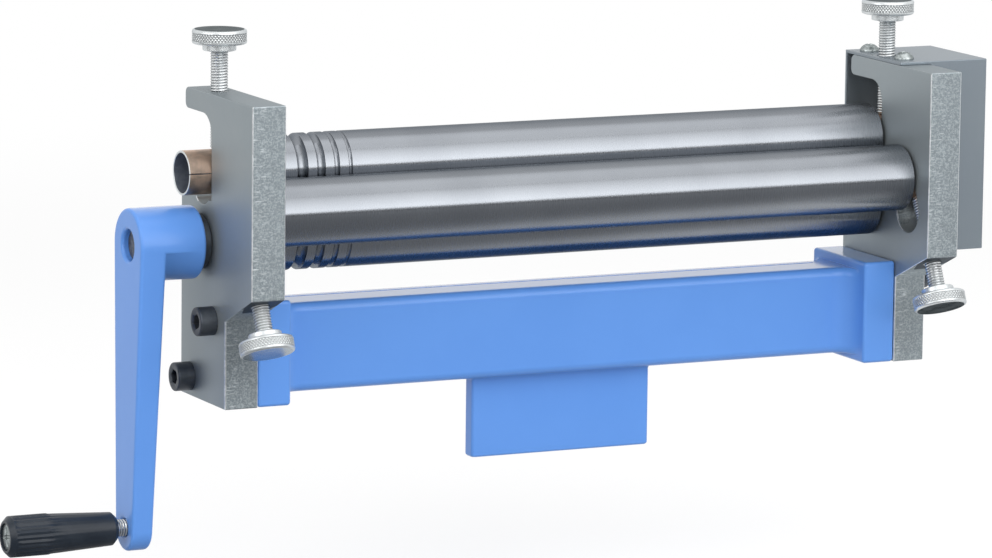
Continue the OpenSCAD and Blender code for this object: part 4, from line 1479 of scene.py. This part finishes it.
def makeWorld():
    world = bpy.data.worlds.new("studio")
    bpy.context.scene.world = world
    tree = emptyTree(world)
    incoming = put(tree, "ShaderNodeNewGeometry").outputs["Incoming"]
    shown = backgroundShown(tree, behindObject(tree, incoming, 0.1, -0.1))
    strength = mixValue(tree, shown, studio["worldLight"], 1.0)
    glow = put(tree, "ShaderNodeBackground", {"Color": (1, 1, 1, 1), "Strength": strength})
    put(tree, "ShaderNodeOutputWorld", {"Surface": glow.outputs[0]})


lamps = {  # lowEnd and highEnd are shares of the strength at a panel's lower and upper edge
    "frontPanel": {
        "place": (0.40, -1.50, 0.975),
        "aim": (0.40, 0, 0.07),
        "size": (2.6, 1.74),
        "power": 23.4,
        "lowEnd": 1.7,
        "highEnd": 0.6,
    },
    "roofPanel": {
        "place": (0.45, -0.28, 1.85),
        "aim": (0.45, 0, 0.11),
        "size": (2.4, 1.5),
        "power": 8.3,
        "lowEnd": 1.35,
        "highEnd": 0.75,
    },
    "leftPanel": {
        "place": (-1.9, -0.55, 0.8),
        "aim": (0, 0, 0.09),
        "size": (1.5, 1.4),
        "power": 14.5,
        "lowEnd": 1.0,
        "highEnd": 1.0,
    },
}


def makeLamps():
    for name, v in lamps.items():
        data = bpy.data.lights.new(name, "AREA")
        data.shape = "RECTANGLE"
        data.size, data.size_y = v["size"]
        data.energy = v["power"]
        tree = emptyTree(data)
        upwards = component(tree, put(tree, "ShaderNodeNewGeometry").outputs["Parametric"], 1)
        fall = ramp(tree, upwards, 0.0, 1.0, v["lowEnd"], v["highEnd"], "LINEAR")
        light = put(tree, "ShaderNodeEmission", {"Strength": fall})
        put(tree, "ShaderNodeOutputLight", {"Surface": light.outputs[0]})
        lamp = linkObject(name, data)
        lamp.location = v["place"]
        toward = Vector(v["aim"]) - Vector(v["place"])
        lamp.rotation_euler = toward.to_track_quat("-Z", "Y").to_euler()


cameraView = {
    "right": (0.90302485, -0.4294233, 0.0119056),
    "up": (0.0580714, 0.14948288, 0.98705754),
    "back": (-0.42564519, -0.89064611, 0.15992397),
    "place": (-1.19506, -2.42984, 0.49933),
    "lens": 217.74,
    "sensorWidth": 36.0,
}


def makeCamera():
    v = cameraView
    data = bpy.data.cameras.new("camera")
    data.lens = v["lens"]
    data.sensor_width = v["sensorWidth"]
    data.sensor_fit = "HORIZONTAL"
    data.clip_start, data.clip_end = 0.05, 60.0
    camera = linkObject("camera", data)
    turn = Matrix((v["right"], v["up"], v["back"])).transposed()
    camera.matrix_world = Matrix.Translation(v["place"]) @ turn.to_4x4()
    bpy.context.scene.camera = camera


makeFloor()
makeWorld()
makeLamps()
makeCamera()
bpy.context.scene.view_settings.view_transform = "Standard"
print("studio made")
